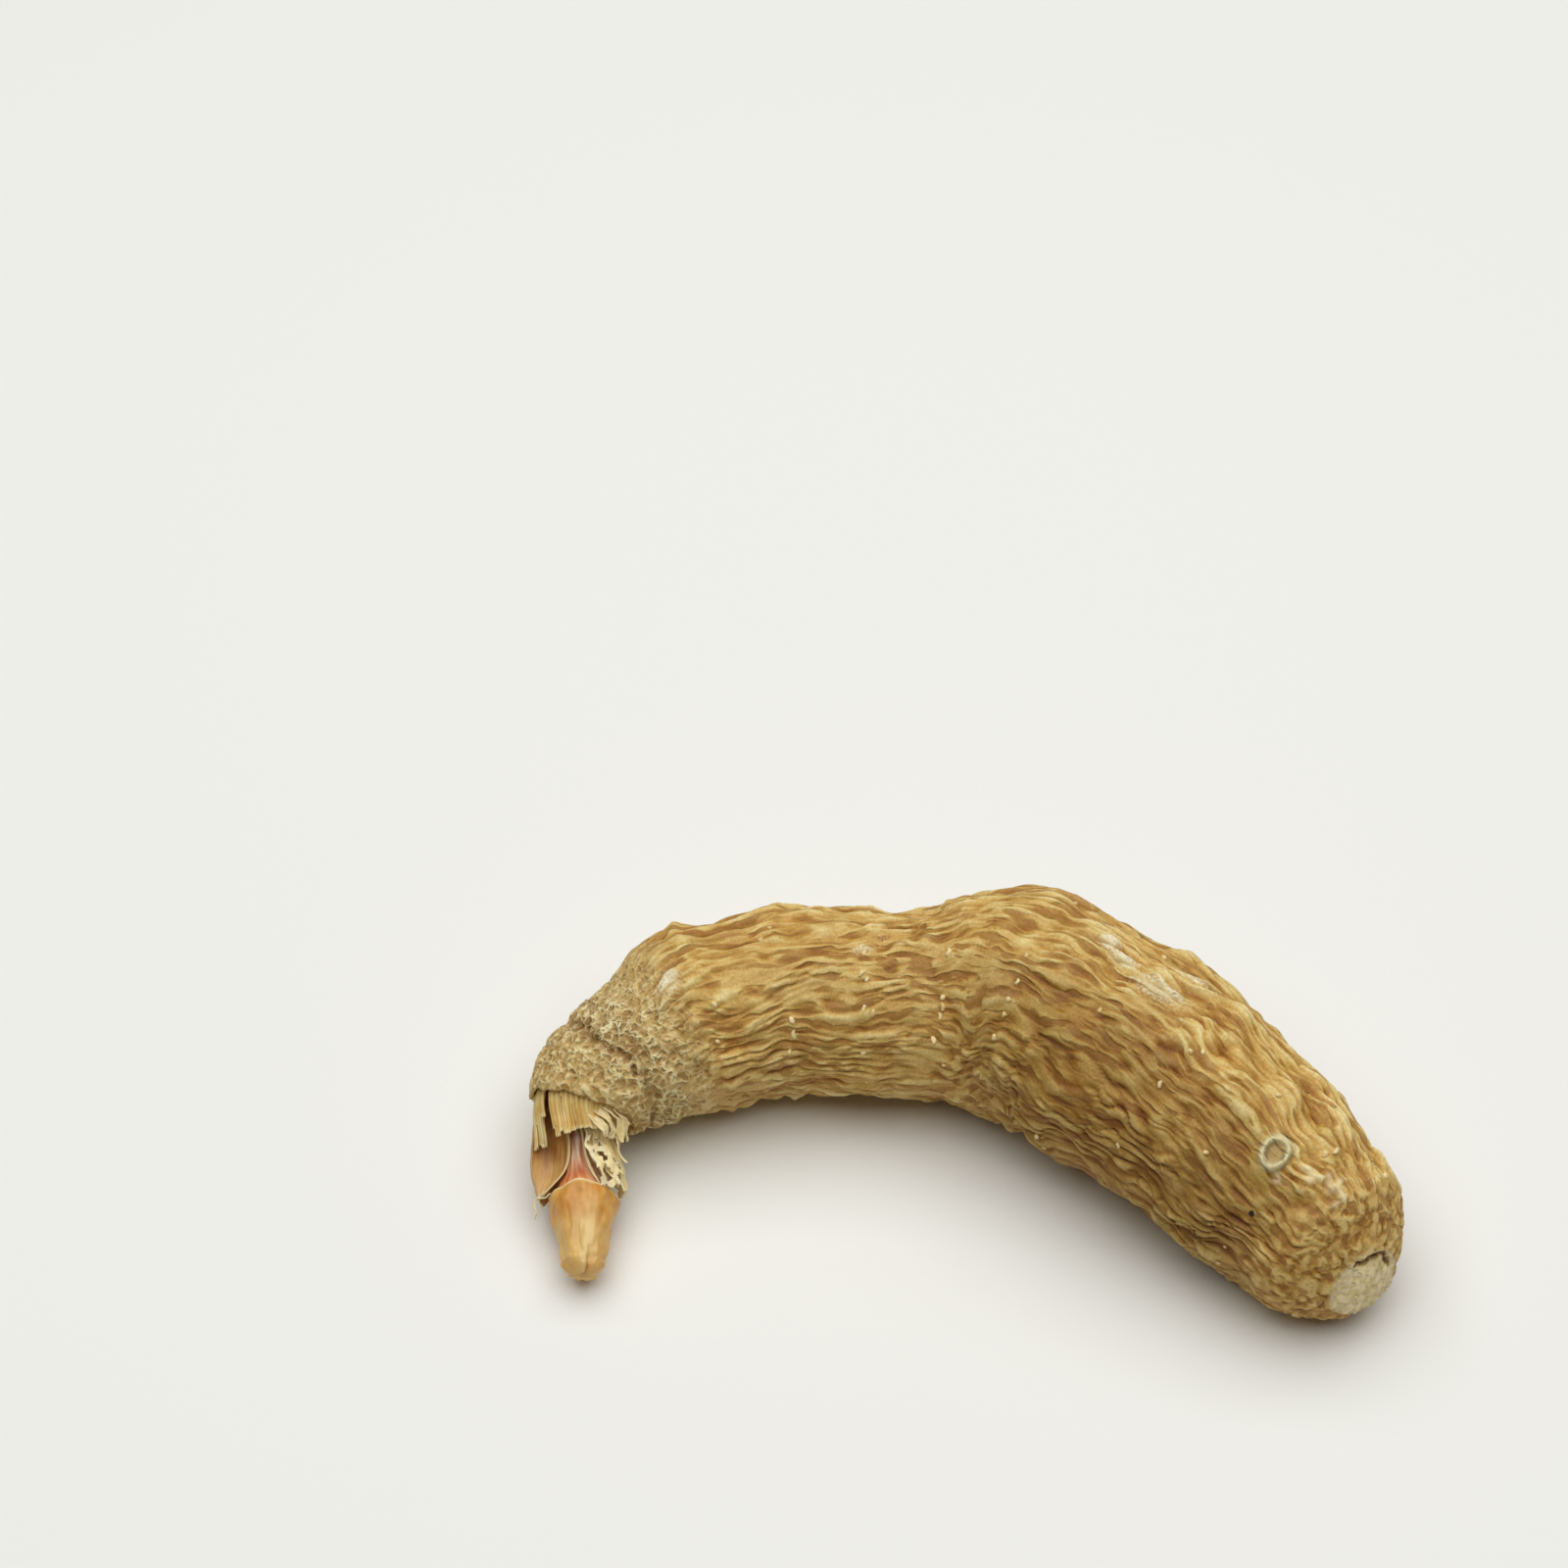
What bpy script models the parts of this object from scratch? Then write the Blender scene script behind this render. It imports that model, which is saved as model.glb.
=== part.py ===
# A dried gastrodia tuber: a bowed, wrinkled tuber with its ring nodes and end scar,
# the shoot bud that it ends in, and the torn dry scale leaves round that bud.
# Lengths are written in millimetres and turned to metres when a mesh is made.
# The frame: +Z up, the tuber lies on its side along X and bows towards +Y,
# and the origin is at the middle of the underside of the whole object's box.

import math

import bmesh
import bpy
import numpy as np
from mathutils import Vector, noise

MM = 0.001

# The spine that everything grows along, from the shoot's tip to the scarred end: x, y, height.
SPINE = (
    (-46.5, -22.8, 4.2),
    (-46.7, -16.4, 4.5),
    (-47.0, -10.2, 5.0),
    (-47.6, -4.6, 6.3),
    (-47.4, 1.2, 9.3),
    (-42.0, 7.3, 10.4),
    (-34.0, 12.5, 11.1),
    (-22.3, 15.9, 11.8),
    (-8.8, 16.1, 12.0),
    (4.5, 15.0, 13.1),
    (14.5, 10.2, 14.1),
    (24.3, 1.4, 14.3),
    (33.3, -8.0, 13.1),
    (41.9, -18.4, 10.5),
    (47.5, -26.0, 9.3),
    (51.0, -31.7, 9.2),
)
NECK_STATION = 4  # the spine station at the tuber's neck, where the shoot leaves it

# Half widths of the tuber: distance from the neck rim, half width.
TUBER_HALF_WIDTHS = (
    (0.0, 7.0),
    (3.0, 8.0),
    (7.3, 9.5),
    (12.0, 10.7),
    (18.0, 12.0),
    (42.0, 12.6),
    (50.0, 13.6),
    (58.0, 15.0),
    (68.0, 15.5),
    (80.0, 15.0),
    (93.0, 14.0),
    (101.0, 13.2),
    (109.5, 11.9),
)
HEIGHT_SHARE = 0.92  # the tuber is a little flatter than it is wide

# Folds, lumps and ring nodes of the tuber's skin.
FOLDS = 44  # ridges round the tuber, each one column of points with a groove after it
FOLD_HEIGHT = 0.5
FOLD_RUN = 8.0  # how far one fold runs before it fades
FOLD_WANDER = 0.11  # how far folds sway round the tuber, in radians
LUMP_HEIGHT = 0.6
LUMP_SIZE = 17.0
# Swellings and hollows: distance from the neck, reach along, angle round, rise.
SWELLS = (
    (11.0, 4.0, 45, -1.2),
    (18.0, 4.0, 45, 0.9),
    (48.0, 6.5, 45, -1.2),
    (60.5, 3.5, 45, 0.7),
    (72.5, 4.0, 45, -0.8),
    (93.0, 6.0, 20, -0.5),
    (108.0, 5.0, 190, -0.9),
)
NODE_SPACING = 9.6
NODE_RISE = 0.32
FIRST_NODE = 3.1
RINGS_PER_NODE = 3

# The neck's recess, in which the shoot and its scale leaves are rooted.
RECESS_RADIUS = 6.15
RECESS_DEPTH = 1.7

# The blunt far end: its dome starts here, and the round scar closes it.
DOME_START = 109.6
DOME_LENGTH = 10.6
SCAR_RADIUS = 4.9
SCAR_DEPTH = 0.5

# Three low flat spots, under the spine, that the tuber rests on: distance from the neck.
REST_SPOTS = (17.0, 63.0, 105.0)
REST_RADIUS = 5.0
REST_REACH = 0.45  # skin this close to the surface is pressed flat there
CLEARANCE = 0.4  # the rest of the underside stays this far up

# The shoot, measured outwards from the neck rim.
GAP = 0.35
CORE_RADII = ((-1.3, 2.6), (2.0, 2.2), (6.0, 1.9), (9.0, 2.3), (11.5, 3.2), (13.4, 3.85))
TIP_RADII = ((13.4, 4.15), (15.0, 4.05), (17.5, 3.4), (20.5, 3.05), (23.0, 2.9), (23.9, 2.4))
TIP_START = 13.4
TIP_END = 24.3
HOOD_RISE = 0.7  # the tip's rim comes to a point on its upper side, this far up the core
CORE_FLUTES = 9

# The scale leaves.
LEAF_WALL = 0.62
LEAF_ROOT_RADIUS = 3.5
COLLAR_RADIUS = 4.7
COLLAR_ROOT = -1.3
COLLAR_END = 4.6
COLLAR_PLEATS = 26


def curve_through(stations, steps):
    """Points on a smooth curve through the stations, with this many steps for each span."""
    p = np.array(stations, float)
    p = np.vstack([2 * p[0] - p[1], p, 2 * p[-1] - p[-2]])
    found = []
    for k in range(1, len(p) - 2):
        for t in np.arange(steps) / steps:
            a = 2 * p[k]
            b = (p[k + 1] - p[k - 1]) * t
            c = (2 * p[k - 1] - 5 * p[k] + 4 * p[k + 1] - p[k + 2]) * t**2
            d = (3 * p[k] - p[k - 1] - 3 * p[k + 1] + p[k + 2]) * t**3
            found.append((a + b + c + d) / 2)
    found.append(p[-2])
    return np.array(found)


STEPS = 24
LINE = curve_through(SPINE, STEPS)
RUN = np.concatenate([[0], np.cumsum(np.linalg.norm(np.diff(LINE, axis=0), axis=1))])
NECK_RUN = RUN[(NECK_STATION) * STEPS]
TUBER_LENGTH = RUN[-1] - NECK_RUN


def spine_frame(s):
    """Centre, direction, bow side and upper side of the spine, s from the neck rim."""
    at = s + NECK_RUN
    here = np.array([np.interp(at, RUN, LINE[:, k]) for k in range(3)])
    if at > RUN[-1]:
        here = here + (LINE[-1] - LINE[-2]) / np.linalg.norm(LINE[-1] - LINE[-2]) * (at - RUN[-1])
    if at < 0:
        here = here + (LINE[0] - LINE[1]) / np.linalg.norm(LINE[0] - LINE[1]) * -at
    reach = 1.5
    lo, hi = max(at - reach, 0), min(at + reach, RUN[-1])
    along = np.array([np.interp(hi, RUN, LINE[:, k]) - np.interp(lo, RUN, LINE[:, k]) for k in range(3)])
    along /= np.linalg.norm(along)
    side = np.cross((0, 0, 1), along)
    side /= np.linalg.norm(side)
    return here, along, side, np.cross(along, side)


def place(s, angle, radius, height_share=1.0):
    """A point at that distance from the spine, angle 0 on the bow side and 90 degrees on top."""
    here, _, side, up = spine_frame(s)
    return here + radius * (math.cos(angle) * side + height_share * math.sin(angle) * up)


def ripple(*at):
    """Smooth noise from -1 to 1 at a point."""
    return noise.noise(Vector(at))


def blend(table, s):
    """The value at s of a table of (s, value), read from a smooth curve through it."""
    at = [row[0] for row in table]
    smooth = curve_through([(row[0], row[1]) for row in table], 12)
    return float(np.interp(min(max(s, at[0]), at[-1]), smooth[:, 0], smooth[:, 1]))


def near_rest_spot(point):
    """How far a point is, seen from above, from the nearest of the spots the tuber rests on."""
    spots = [spine_frame(s)[0] for s in REST_SPOTS]
    return min(math.hypot(point[0] - q[0], point[1] - q[1]) for q in spots)


def skin_point(s, column, radius, calm=0.0):
    """A point of the tuber's folded skin. calm is 1 where the skin is smooth and 0 where it is folded."""
    columns = 2 * FOLDS
    turn = 2 * math.pi * column / columns
    ring = (1.7 * math.cos(turn), 1.7 * math.sin(turn))
    turn += FOLD_WANDER * ripple(s / 9, *ring)
    lump = LUMP_HEIGHT * ripple(s / LUMP_SIZE + 40, 0.6 * ring[0], 0.6 * ring[1])
    for at, reach, angle, rise in SWELLS:
        facing = max(0.0, math.cos(turn - math.radians(angle)))
        lump += rise * facing**1.5 * math.exp(-(((s - at) / reach) ** 2))
    strength = 0.85 + 0.7 * ripple(s / FOLD_RUN, column // 2 * 5.3, 7.1)
    fold = FOLD_HEIGHT * min(max(strength, 0.4), 1.2) * (0.75 if column % 2 == 0 else -1.0)
    plain = place(s, turn, radius, HEIGHT_SHARE)
    if near_rest_spot(plain) < REST_RADIUS and plain[2] < 3:
        fold *= 0.15
    point = place(s, turn, radius + (1 - calm) * (lump + fold), HEIGHT_SHARE)
    return point


def on_surface(points):
    """Presses the underside flat at the rest spots and keeps the rest of it just clear."""
    for p in points:
        if near_rest_spot(p) < REST_RADIUS:
            p[2] = 0.0 if p[2] < REST_REACH else p[2]
        else:
            p[2] = max(p[2], CLEARANCE)
    return points


def tuber_rings():
    """The tuber's rings from the recess's floor, over the neck rim, along the body and round the end."""
    rings = []
    for s, share in ((RECESS_DEPTH, 0.5), (RECESS_DEPTH, 0.97), (0.2, 1.0), (-0.75, 1.03)):
        rings.append((s, RECESS_RADIUS * share, 1.0, 0.0))
    rings.append((-0.4, 6.95, 0.8, 0.1))
    count = int((DOME_START - FIRST_NODE) / NODE_SPACING * RINGS_PER_NODE) + 1
    rings.append((1.6, blend(TUBER_HALF_WIDTHS, 1.6), 0.35, 0.0))
    for k in range(count):
        s = FIRST_NODE + k * NODE_SPACING / RINGS_PER_NODE
        rise = NODE_RISE if k % RINGS_PER_NODE == 0 else -NODE_RISE / 2
        rings.append((s, blend(TUBER_HALF_WIDTHS, s), 0.0, rise))
    last = rings[-1][0]
    for turn in (18, 34, 48, 60):
        s = max(last, DOME_START) + DOME_LENGTH * math.sin(math.radians(turn))
        width = SCAR_RADIUS + (blend(TUBER_HALF_WIDTHS, DOME_START) - SCAR_RADIUS) * math.cos(math.radians(turn * 1.45))
        rings.append((s, width, turn / 120, 0.0))
    end = rings[-1][0]
    for radius, out in ((SCAR_RADIUS, 0.5), (SCAR_RADIUS * 0.82, 0.35), (SCAR_RADIUS * 0.72, -SCAR_DEPTH), (SCAR_RADIUS * 0.3, -0.2)):
        rings.append((end + out, radius, 0.85, 0.0))
    return rings


def faces_of_rings(count, columns):
    """Quads between rings of points, and a fan that closes each end on one more point."""
    faces = []
    for i in range(count - 1):
        for j in range(columns):
            k = (j + 1) % columns
            faces.append((i * columns + j, i * columns + k, (i + 1) * columns + k, (i + 1) * columns + j))
    first, last = count * columns, count * columns + 1
    for j in range(columns):
        k = (j + 1) % columns
        faces.append((first, k, j))
        faces.append((last, (count - 1) * columns + j, (count - 1) * columns + k))
    return faces


def sheet_solid(outer, inner, keep, closed):
    """Points and faces of a thin leaf: two like layers of triangles and walls round every edge and tear."""
    rows, cols = len(outer), len(outer[0])
    points = [p for row in outer for p in row] + [p for row in inner for p in row]
    base = rows * cols
    faces, edges = [], {}
    for i in range(rows - 1):
        for j in range(cols if closed else cols - 1):
            if not keep(i, j):
                continue
            k = (j + 1) % cols
            a, b, c, d = i * cols + j, i * cols + k, (i + 1) * cols + k, (i + 1) * cols + j
            for tri in ((a, b, c), (a, c, d)):
                faces.append(tri)
                faces.append(tuple(base + v for v in reversed(tri)))
            for e in ((a, b), (b, c), (c, d), (d, a)):
                edges[tuple(sorted(e))] = None if tuple(sorted(e)) in edges else e
    for e in edges.values():
        if e is not None:
            a, b = e
            faces.append((b, a, base + b))
            faces.append((a, base + a, base + b))
    return points, faces


def make_object(name, points, faces, colour, roughness):
    """A named object with its own material, from points in millimetres."""
    mesh = bpy.data.meshes.new(name)
    mesh.from_pydata([tuple(np.array(p) * MM) for p in points], [], faces)
    shaped = bmesh.new()
    shaped.from_mesh(mesh)
    bmesh.ops.delete(shaped, geom=[v for v in shaped.verts if not v.link_faces], context="VERTS")
    bmesh.ops.recalc_face_normals(shaped, faces=shaped.faces)
    bmesh.ops.triangulate(shaped, faces=shaped.faces)
    shaped.to_mesh(mesh)
    shaped.free()
    mesh.shade_smooth()
    obj = bpy.data.objects.new(name, mesh)
    bpy.context.scene.collection.objects.link(obj)
    material = bpy.data.materials.new(name + "_finish")
    material.use_nodes = True
    surface = material.node_tree.nodes["Principled BSDF"]
    surface.inputs["Base Color"].default_value = (*colour, 1)
    surface.inputs["Roughness"].default_value = roughness
    surface.inputs["Metallic"].default_value = 0
    mesh.materials.append(material)
    return obj


def build_tuber():
    """The tuber itself: folds, ring nodes, the neck's recess and the scarred end, as one body."""
    rings = tuber_rings()
    columns = 2 * FOLDS
    points = []
    for s, radius, calm, rise in rings:
        for column in range(columns):
            points.append(skin_point(s, column, radius + rise, calm))
    points = on_surface(points)
    floor = place(rings[0][0], 0, 0)
    scar = place(rings[-1][0] + 0.25, 0, 0)
    faces = faces_of_rings(len(rings), columns)
    return make_object("tuber", points + [floor, scar], faces, (0.46, 0.28, 0.10), 0.62)


def hood(angle):
    """How far the tip's rim rises up the core at an angle: a point on the upper side."""
    off = abs((angle - math.radians(80) + math.pi) % (2 * math.pi) - math.pi)
    return HOOD_RISE * max(0.0, 1 - off / math.radians(75)) ** 1.3


def build_core():
    """The red shoot core, fluted, from the recess's floor to the tip."""
    columns, points = 27, []
    stops = [CORE_RADII[0][0] + (TIP_START - GAP - CORE_RADII[0][0]) * k / 9 for k in range(10)]
    for k, out in enumerate(stops):
        for j in range(columns):
            angle = 2 * math.pi * j / columns
            flute = 0.16 * math.cos(CORE_FLUTES * angle + 0.2 * out)
            drawn_back = hood(angle) * (k / 9) ** 3
            points.append(place(-(out - drawn_back), angle, blend(CORE_RADII, out - drawn_back) + flute, HEIGHT_SHARE))
    ends = [place(-stops[0], 0, 0), place(-(stops[-1] - HOOD_RISE * 0.25), 0, 0)]
    return make_object("shoot_core", points + ends, faces_of_rings(10, columns), (0.36, 0.11, 0.04), 0.45)


def build_tip():
    """The amber end of the shoot: a shrunken hood with a pointed rim and a cleft blunt end."""
    columns, points = 36, []
    stops = (0.0, 0.08, 0.2, 0.34, 0.48, 0.62, 0.76, 0.88, 0.96)
    for share in stops:
        for j in range(columns):
            angle = 2 * math.pi * j / columns
            out = TIP_START + (TIP_END - TIP_START) * share - hood(angle) * (1 - share) ** 4
            shrunk = 0.22 * ripple(out / 3, 2.2 * math.cos(angle), 2.2 * math.sin(angle))
            crease = -0.28 * math.exp(-(((angle - math.radians(118)) / 0.22) ** 2)) * share
            radius = blend(TIP_RADII, out) * (1 - 0.3 * max(0, share - 0.88) / 0.08)
            points.append(place(-out, angle, radius + shrunk + crease, HEIGHT_SHARE))
    ends = [place(-(TIP_START - HOOD_RISE * 0.25), 0, 0), place(-(TIP_END - 0.5), 0, 0)]
    return make_object("shoot_tip", points + ends, faces_of_rings(len(stops), columns), (0.60, 0.36, 0.12), 0.42)


def leaf_radius(out, swell):
    """Inner radius of a leaf: slim where the collar wraps it, swollen further out."""
    share = min(max((out - 4.0) / 5.2, 0), 1)
    return LEAF_ROOT_RADIUS + swell * share * share * (3 - 2 * share)


def build_collar():
    """The short pleated base of the outermost scale leaf, torn all round its lower edge."""
    columns, rows = 2 * COLLAR_PLEATS, 6
    outer, inner = [], []
    for i in range(rows):
        ring_out, ring_in = [], []
        for j in range(columns):
            angle = 2 * math.pi * j / columns
            torn = 0.8 + 0.55 * ripple(2.6 * math.cos(angle) + 5, 2.6 * math.sin(angle), 1.3)
            torn += 0.10 * (-1) ** (j // 2)
            notch = math.exp(-(((angle - math.radians(40)) / 0.16) ** 2))
            length = (COLLAR_END - COLLAR_ROOT) * min(torn, 1.0) * (1 - 0.5 * notch)
            out = COLLAR_ROOT + length * i / (rows - 1)
            pleat = 0.13 * (1 if j % 2 else -1)
            radius = COLLAR_RADIUS + pleat + 0.1 * i / (rows - 1)
            ring_in.append(place(-out, angle, radius, HEIGHT_SHARE))
            ring_out.append(place(-out, angle, radius + LEAF_WALL, HEIGHT_SHARE))
        outer.append(ring_out)
        inner.append(ring_in)
    points, faces = sheet_solid(outer, inner, lambda i, j: True, True)
    return make_object("scale_collar", points, faces, (0.60, 0.44, 0.19), 0.7)


def build_cup():
    """The spoon-shaped scale leaf on the bow side of the shoot, hollow towards the upper side."""
    rows, cols = 15, 11
    root, reach = 0.2, 12.6
    outer, inner = [], []
    for i in range(rows):
        t = i / (rows - 1)
        out = root + (reach - root) * t
        stop = math.radians(16 + 10 * math.sin(math.pi * t) - 16 * t**4)
        start = math.radians(-72 + 62 * t**3)
        row_out, row_in = [], []
        for j in range(cols):
            v = j / (cols - 1)
            angle = start + (stop - start) * v
            rim = 0.35 * math.sin(math.pi * t) * v**3
            radius = leaf_radius(out, 1.8) + rim + 0.12 * t * ripple(3 * t, 2 * v, 9)
            row_in.append(place(-out, angle, radius, 0.8))
            row_out.append(place(-out, angle, radius + LEAF_WALL, 0.8))
        outer.append(row_out)
        inner.append(row_in)
    points, faces = sheet_solid(outer, inner, lambda i, j: True, False)
    return make_object("scale_cup", points, faces, (0.33, 0.18, 0.06), 0.45)


def build_torn():
    """The crumpled scale leaf on the hollow side of the bow, torn into slits."""
    rows, cols = 14, 19
    root, reach = 0.2, 13.2
    slits = {(5, 3), (6, 3), (4, 9), (5, 9), (8, 11), (9, 11), (7, 6), (10, 7), (6, 14), (7, 14)}
    outer, inner = [], []
    for i in range(rows):
        t = i / (rows - 1)
        start = math.radians(106 + 14 * t**2)
        stop = math.radians(262 - 40 * t**2)
        row_out, row_in = [], []
        for j in range(cols):
            v = j / (cols - 1)
            angle = start + (stop - start) * v
            out = root + (reach - root) * t * (1 - 0.25 * abs(v - 0.45))
            crumple = 0.3 * ripple(5 * t, 7 * v, 3) + 0.12 * (-1) ** j
            radius = leaf_radius(out, 1.3) + min(1, 2.5 * t) * crumple
            row_in.append(place(-out, angle, radius, 0.85))
            row_out.append(place(-out, angle, radius + LEAF_WALL, 0.85))
        outer.append(row_out)
        inner.append(row_in)
    points, faces = sheet_solid(outer, inner, lambda i, j: (i, j) not in slits, False)
    return make_object("scale_torn", points, faces, (0.66, 0.50, 0.25), 0.65)


def clear_scene():
    """Removes whatever objects the file opened with."""
    for obj in list(bpy.data.objects):
        bpy.data.objects.remove(obj)


clear_scene()
for build in (build_tuber, build_core, build_tip, build_collar, build_cup, build_torn):
    build()
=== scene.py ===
import math

import bpy
import numpy as np
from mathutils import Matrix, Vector, noise


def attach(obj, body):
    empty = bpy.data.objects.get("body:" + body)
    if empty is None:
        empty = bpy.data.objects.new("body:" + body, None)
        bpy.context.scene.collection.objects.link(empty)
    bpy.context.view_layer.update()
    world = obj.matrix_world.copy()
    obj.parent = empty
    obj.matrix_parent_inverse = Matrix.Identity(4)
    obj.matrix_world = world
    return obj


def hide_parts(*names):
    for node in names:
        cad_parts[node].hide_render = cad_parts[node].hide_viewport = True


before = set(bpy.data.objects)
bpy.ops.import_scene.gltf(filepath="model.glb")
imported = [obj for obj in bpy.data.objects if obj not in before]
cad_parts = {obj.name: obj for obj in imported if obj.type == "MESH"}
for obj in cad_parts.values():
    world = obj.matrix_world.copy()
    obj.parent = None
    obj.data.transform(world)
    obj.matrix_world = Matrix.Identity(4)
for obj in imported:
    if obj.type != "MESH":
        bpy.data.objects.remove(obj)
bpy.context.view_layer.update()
mm = 0.001

# the line that the tuber and its shoot grow along, and helpers on it

growth = {
    # x, y and height in mm, from the shoot's tip to the scarred end
    "spine": [
        (-46.5, -22.8, 4.2), (-46.7, -16.4, 4.5), (-47.0, -10.2, 5.0), (-47.6, -4.6, 6.3),
        (-47.4, 1.2, 9.3), (-42.0, 7.3, 10.4), (-34.0, 12.5, 11.1), (-22.3, 15.9, 11.8),
        (-8.8, 16.1, 12.0), (4.5, 15.0, 13.1), (14.5, 10.2, 14.1), (24.3, 1.4, 14.3),
        (33.3, -8.0, 13.1), (41.9, -18.4, 10.5), (47.5, -26.0, 9.3), (51.0, -31.7, 9.2),
    ],
    "neckStation": 4,
    "stepsPerSpan": 24,
    "heightShare": 0.92,  # a little flatter than it is wide
}


def smoothThrough(stations, steps):
    p = np.array(stations, float)
    p = np.vstack([2 * p[0] - p[1], p, 2 * p[-1] - p[-2]])
    t = (np.arange(steps) / steps)[:, None]
    spans = []
    for k in range(1, len(p) - 2):
        b = p[k + 1] - p[k - 1]
        c = 2 * p[k - 1] - 5 * p[k] + 4 * p[k + 1] - p[k + 2]
        d = 3 * p[k] - p[k - 1] - 3 * p[k + 1] + p[k + 2]
        spans.append((2 * p[k] + b * t + c * t**2 + d * t**3) / 2)
    return np.vstack(spans + [p[-2][None]])


spineLine = smoothThrough(growth["spine"], growth["stepsPerSpan"])
spineRun = np.concatenate([[0], np.cumsum(np.linalg.norm(np.diff(spineLine, axis=0), axis=1))])
neckRun = spineRun[growth["neckStation"] * growth["stepsPerSpan"]]


def spineAt(run):
    # straight on past both ends
    run = np.asarray(run, float)
    spot = np.stack([np.interp(run, spineRun, spineLine[:, k]) for k in range(3)], -1)
    first = spineLine[0] - spineLine[1]
    last = spineLine[-1] - spineLine[-2]
    spot += np.clip(-run, 0, None)[..., None] * first / np.linalg.norm(first)
    spot += np.clip(run - spineRun[-1], 0, None)[..., None] * last / np.linalg.norm(last)
    return spot


def onSpine(s, angle, radius, heightShare):
    # a point round the spine, s mm from the neck rim, angle 0 on the bow side and 90 degrees on top
    run = np.asarray(s, float) + neckRun
    spot = spineAt(run)
    along = spineAt(np.clip(run + 1.5, 0, spineRun[-1])) - spineAt(np.clip(run - 1.5, 0, spineRun[-1]))
    along /= np.linalg.norm(along, axis=-1, keepdims=True)
    side = np.cross([0.0, 0.0, 1.0], along)
    side /= np.linalg.norm(side, axis=-1, keepdims=True)
    up = np.cross(along, side)
    across = np.cos(angle)[..., None] * side + heightShare * np.sin(angle)[..., None] * up
    return spot + radius[..., None] * across


def sampled(field, row, column):
    # reads a grid between its points; it repeats both ways
    rows, columns = field.shape
    i, j = np.floor(row).astype(int), np.floor(column).astype(int)
    a, b = row - i, column - j
    i0, i1, j0, j1 = i % rows, (i + 1) % rows, j % columns, (j + 1) % columns
    return (field[i0, j0] * (1 - a) * (1 - b) + field[i1, j0] * a * (1 - b)
            + field[i0, j1] * (1 - a) * b + field[i1, j1] * a * b)


def smoothStep(low, high, value):
    t = np.clip((value - low) / (high - low), 0, 1)
    return t * t * (3 - 2 * t)


# helpers for meshes and materials


def linear(hexColour):
    parts = [int(hexColour[k:k + 2], 16) / 255 for k in (1, 3, 5)]
    return tuple(c / 12.92 if c <= 0.04045 else ((c + 0.055) / 1.055) ** 2.4 for c in parts) + (1.0,)


def addNode(tree, kind, links=None, out=0, steps=(), **settings):
    made = tree.nodes.new("ShaderNode" + kind)
    for name, value in settings.items():
        setattr(made, name, value)
    for name, value in (links or {}).items():
        if isinstance(value, bpy.types.NodeSocket):
            tree.links.new(value, made.inputs[name])
        else:
            made.inputs[name].default_value = value
    for count, (place, colour) in enumerate(steps):
        if count > 1:
            made.color_ramp.elements.new(1.0)
        made.color_ramp.elements[count].position = place
        made.color_ramp.elements[count].color = linear(colour)
    return made.outputs[out]


def newMaterial(name):
    made = bpy.data.materials.new(name)
    made.use_nodes = True
    tree = made.node_tree
    return made, tree, tree.nodes["Principled BSDF"]


def clearSelection():
    bpy.ops.object.select_all(action="DESELECT")


def setInputs(shader, values):
    for name, value in values.items():
        shader.inputs[name].default_value = value


def pointsOf(piece):
    co = np.empty(len(piece.data.vertices) * 3)
    piece.data.vertices.foreach_get("co", co)
    return co.reshape(-1, 3)


def cutUpright(tube, parts):
    # cuts every upright edge of a tube into equal parts, so that each becomes that many rings
    bpy.ops.object.mode_set(mode="EDIT")
    bpy.ops.mesh.select_mode(type="EDGE")
    bpy.ops.mesh.select_all(action="DESELECT")
    bpy.ops.object.mode_set(mode="OBJECT")
    ends = np.empty(len(tube.data.edges) * 2, int)
    tube.data.edges.foreach_get("vertices", ends)
    height = pointsOf(tube)[:, 2][ends.reshape(-1, 2)]
    tube.data.edges.foreach_set("select", np.ptp(height, axis=1) > 0.001)
    bpy.ops.object.mode_set(mode="EDIT")
    bpy.ops.mesh.subdivide(number_cuts=parts - 1)
    bpy.ops.object.mode_set(mode="OBJECT")


def tubeOf(name, columns, rings):
    # a closed cylinder with that many rings, and for each point its ring and column, or -1 at the two poles
    clearSelection()
    bpy.ops.mesh.primitive_cylinder_add(vertices=columns, radius=1, depth=2, end_fill_type="TRIFAN")
    tube = bpy.context.object
    tube.name = name
    # one cut makes 100 parts at most, so many rings take two
    parts = max(k for k in range(1, 101) if (rings - 1) % k == 0)
    cutUpright(tube, parts)
    if parts < rings - 1:
        cutUpright(tube, (rings - 1) // parts)
    co = pointsOf(tube)
    ring = np.rint((co[:, 2] + 1) / 2 * (rings - 1)).astype(int)
    column = np.rint(np.arctan2(co[:, 1], co[:, 0]) / (2 * np.pi) * columns).astype(int) % columns
    column[np.hypot(co[:, 0], co[:, 1]) < 0.5] = -1
    print(name, len(tube.data.polygons), "faces")
    return tube, ring, column


def placePoints(piece, points):
    piece.data.vertices.foreach_set("co", (points * mm).ravel())
    piece.data.update()
    bpy.context.view_layer.objects.active = piece


def pointValues(piece, name, values, kind="FLOAT"):
    layer = piece.data.attributes.new(name, kind, "POINT")
    layer.data.foreach_set("vector" if kind == "FLOAT_VECTOR" else "value", np.asarray(values, float).ravel())


def smoothShade(piece):
    clearSelection()
    piece.select_set(True)
    bpy.context.view_layer.objects.active = piece
    bpy.ops.object.shade_smooth()


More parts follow.
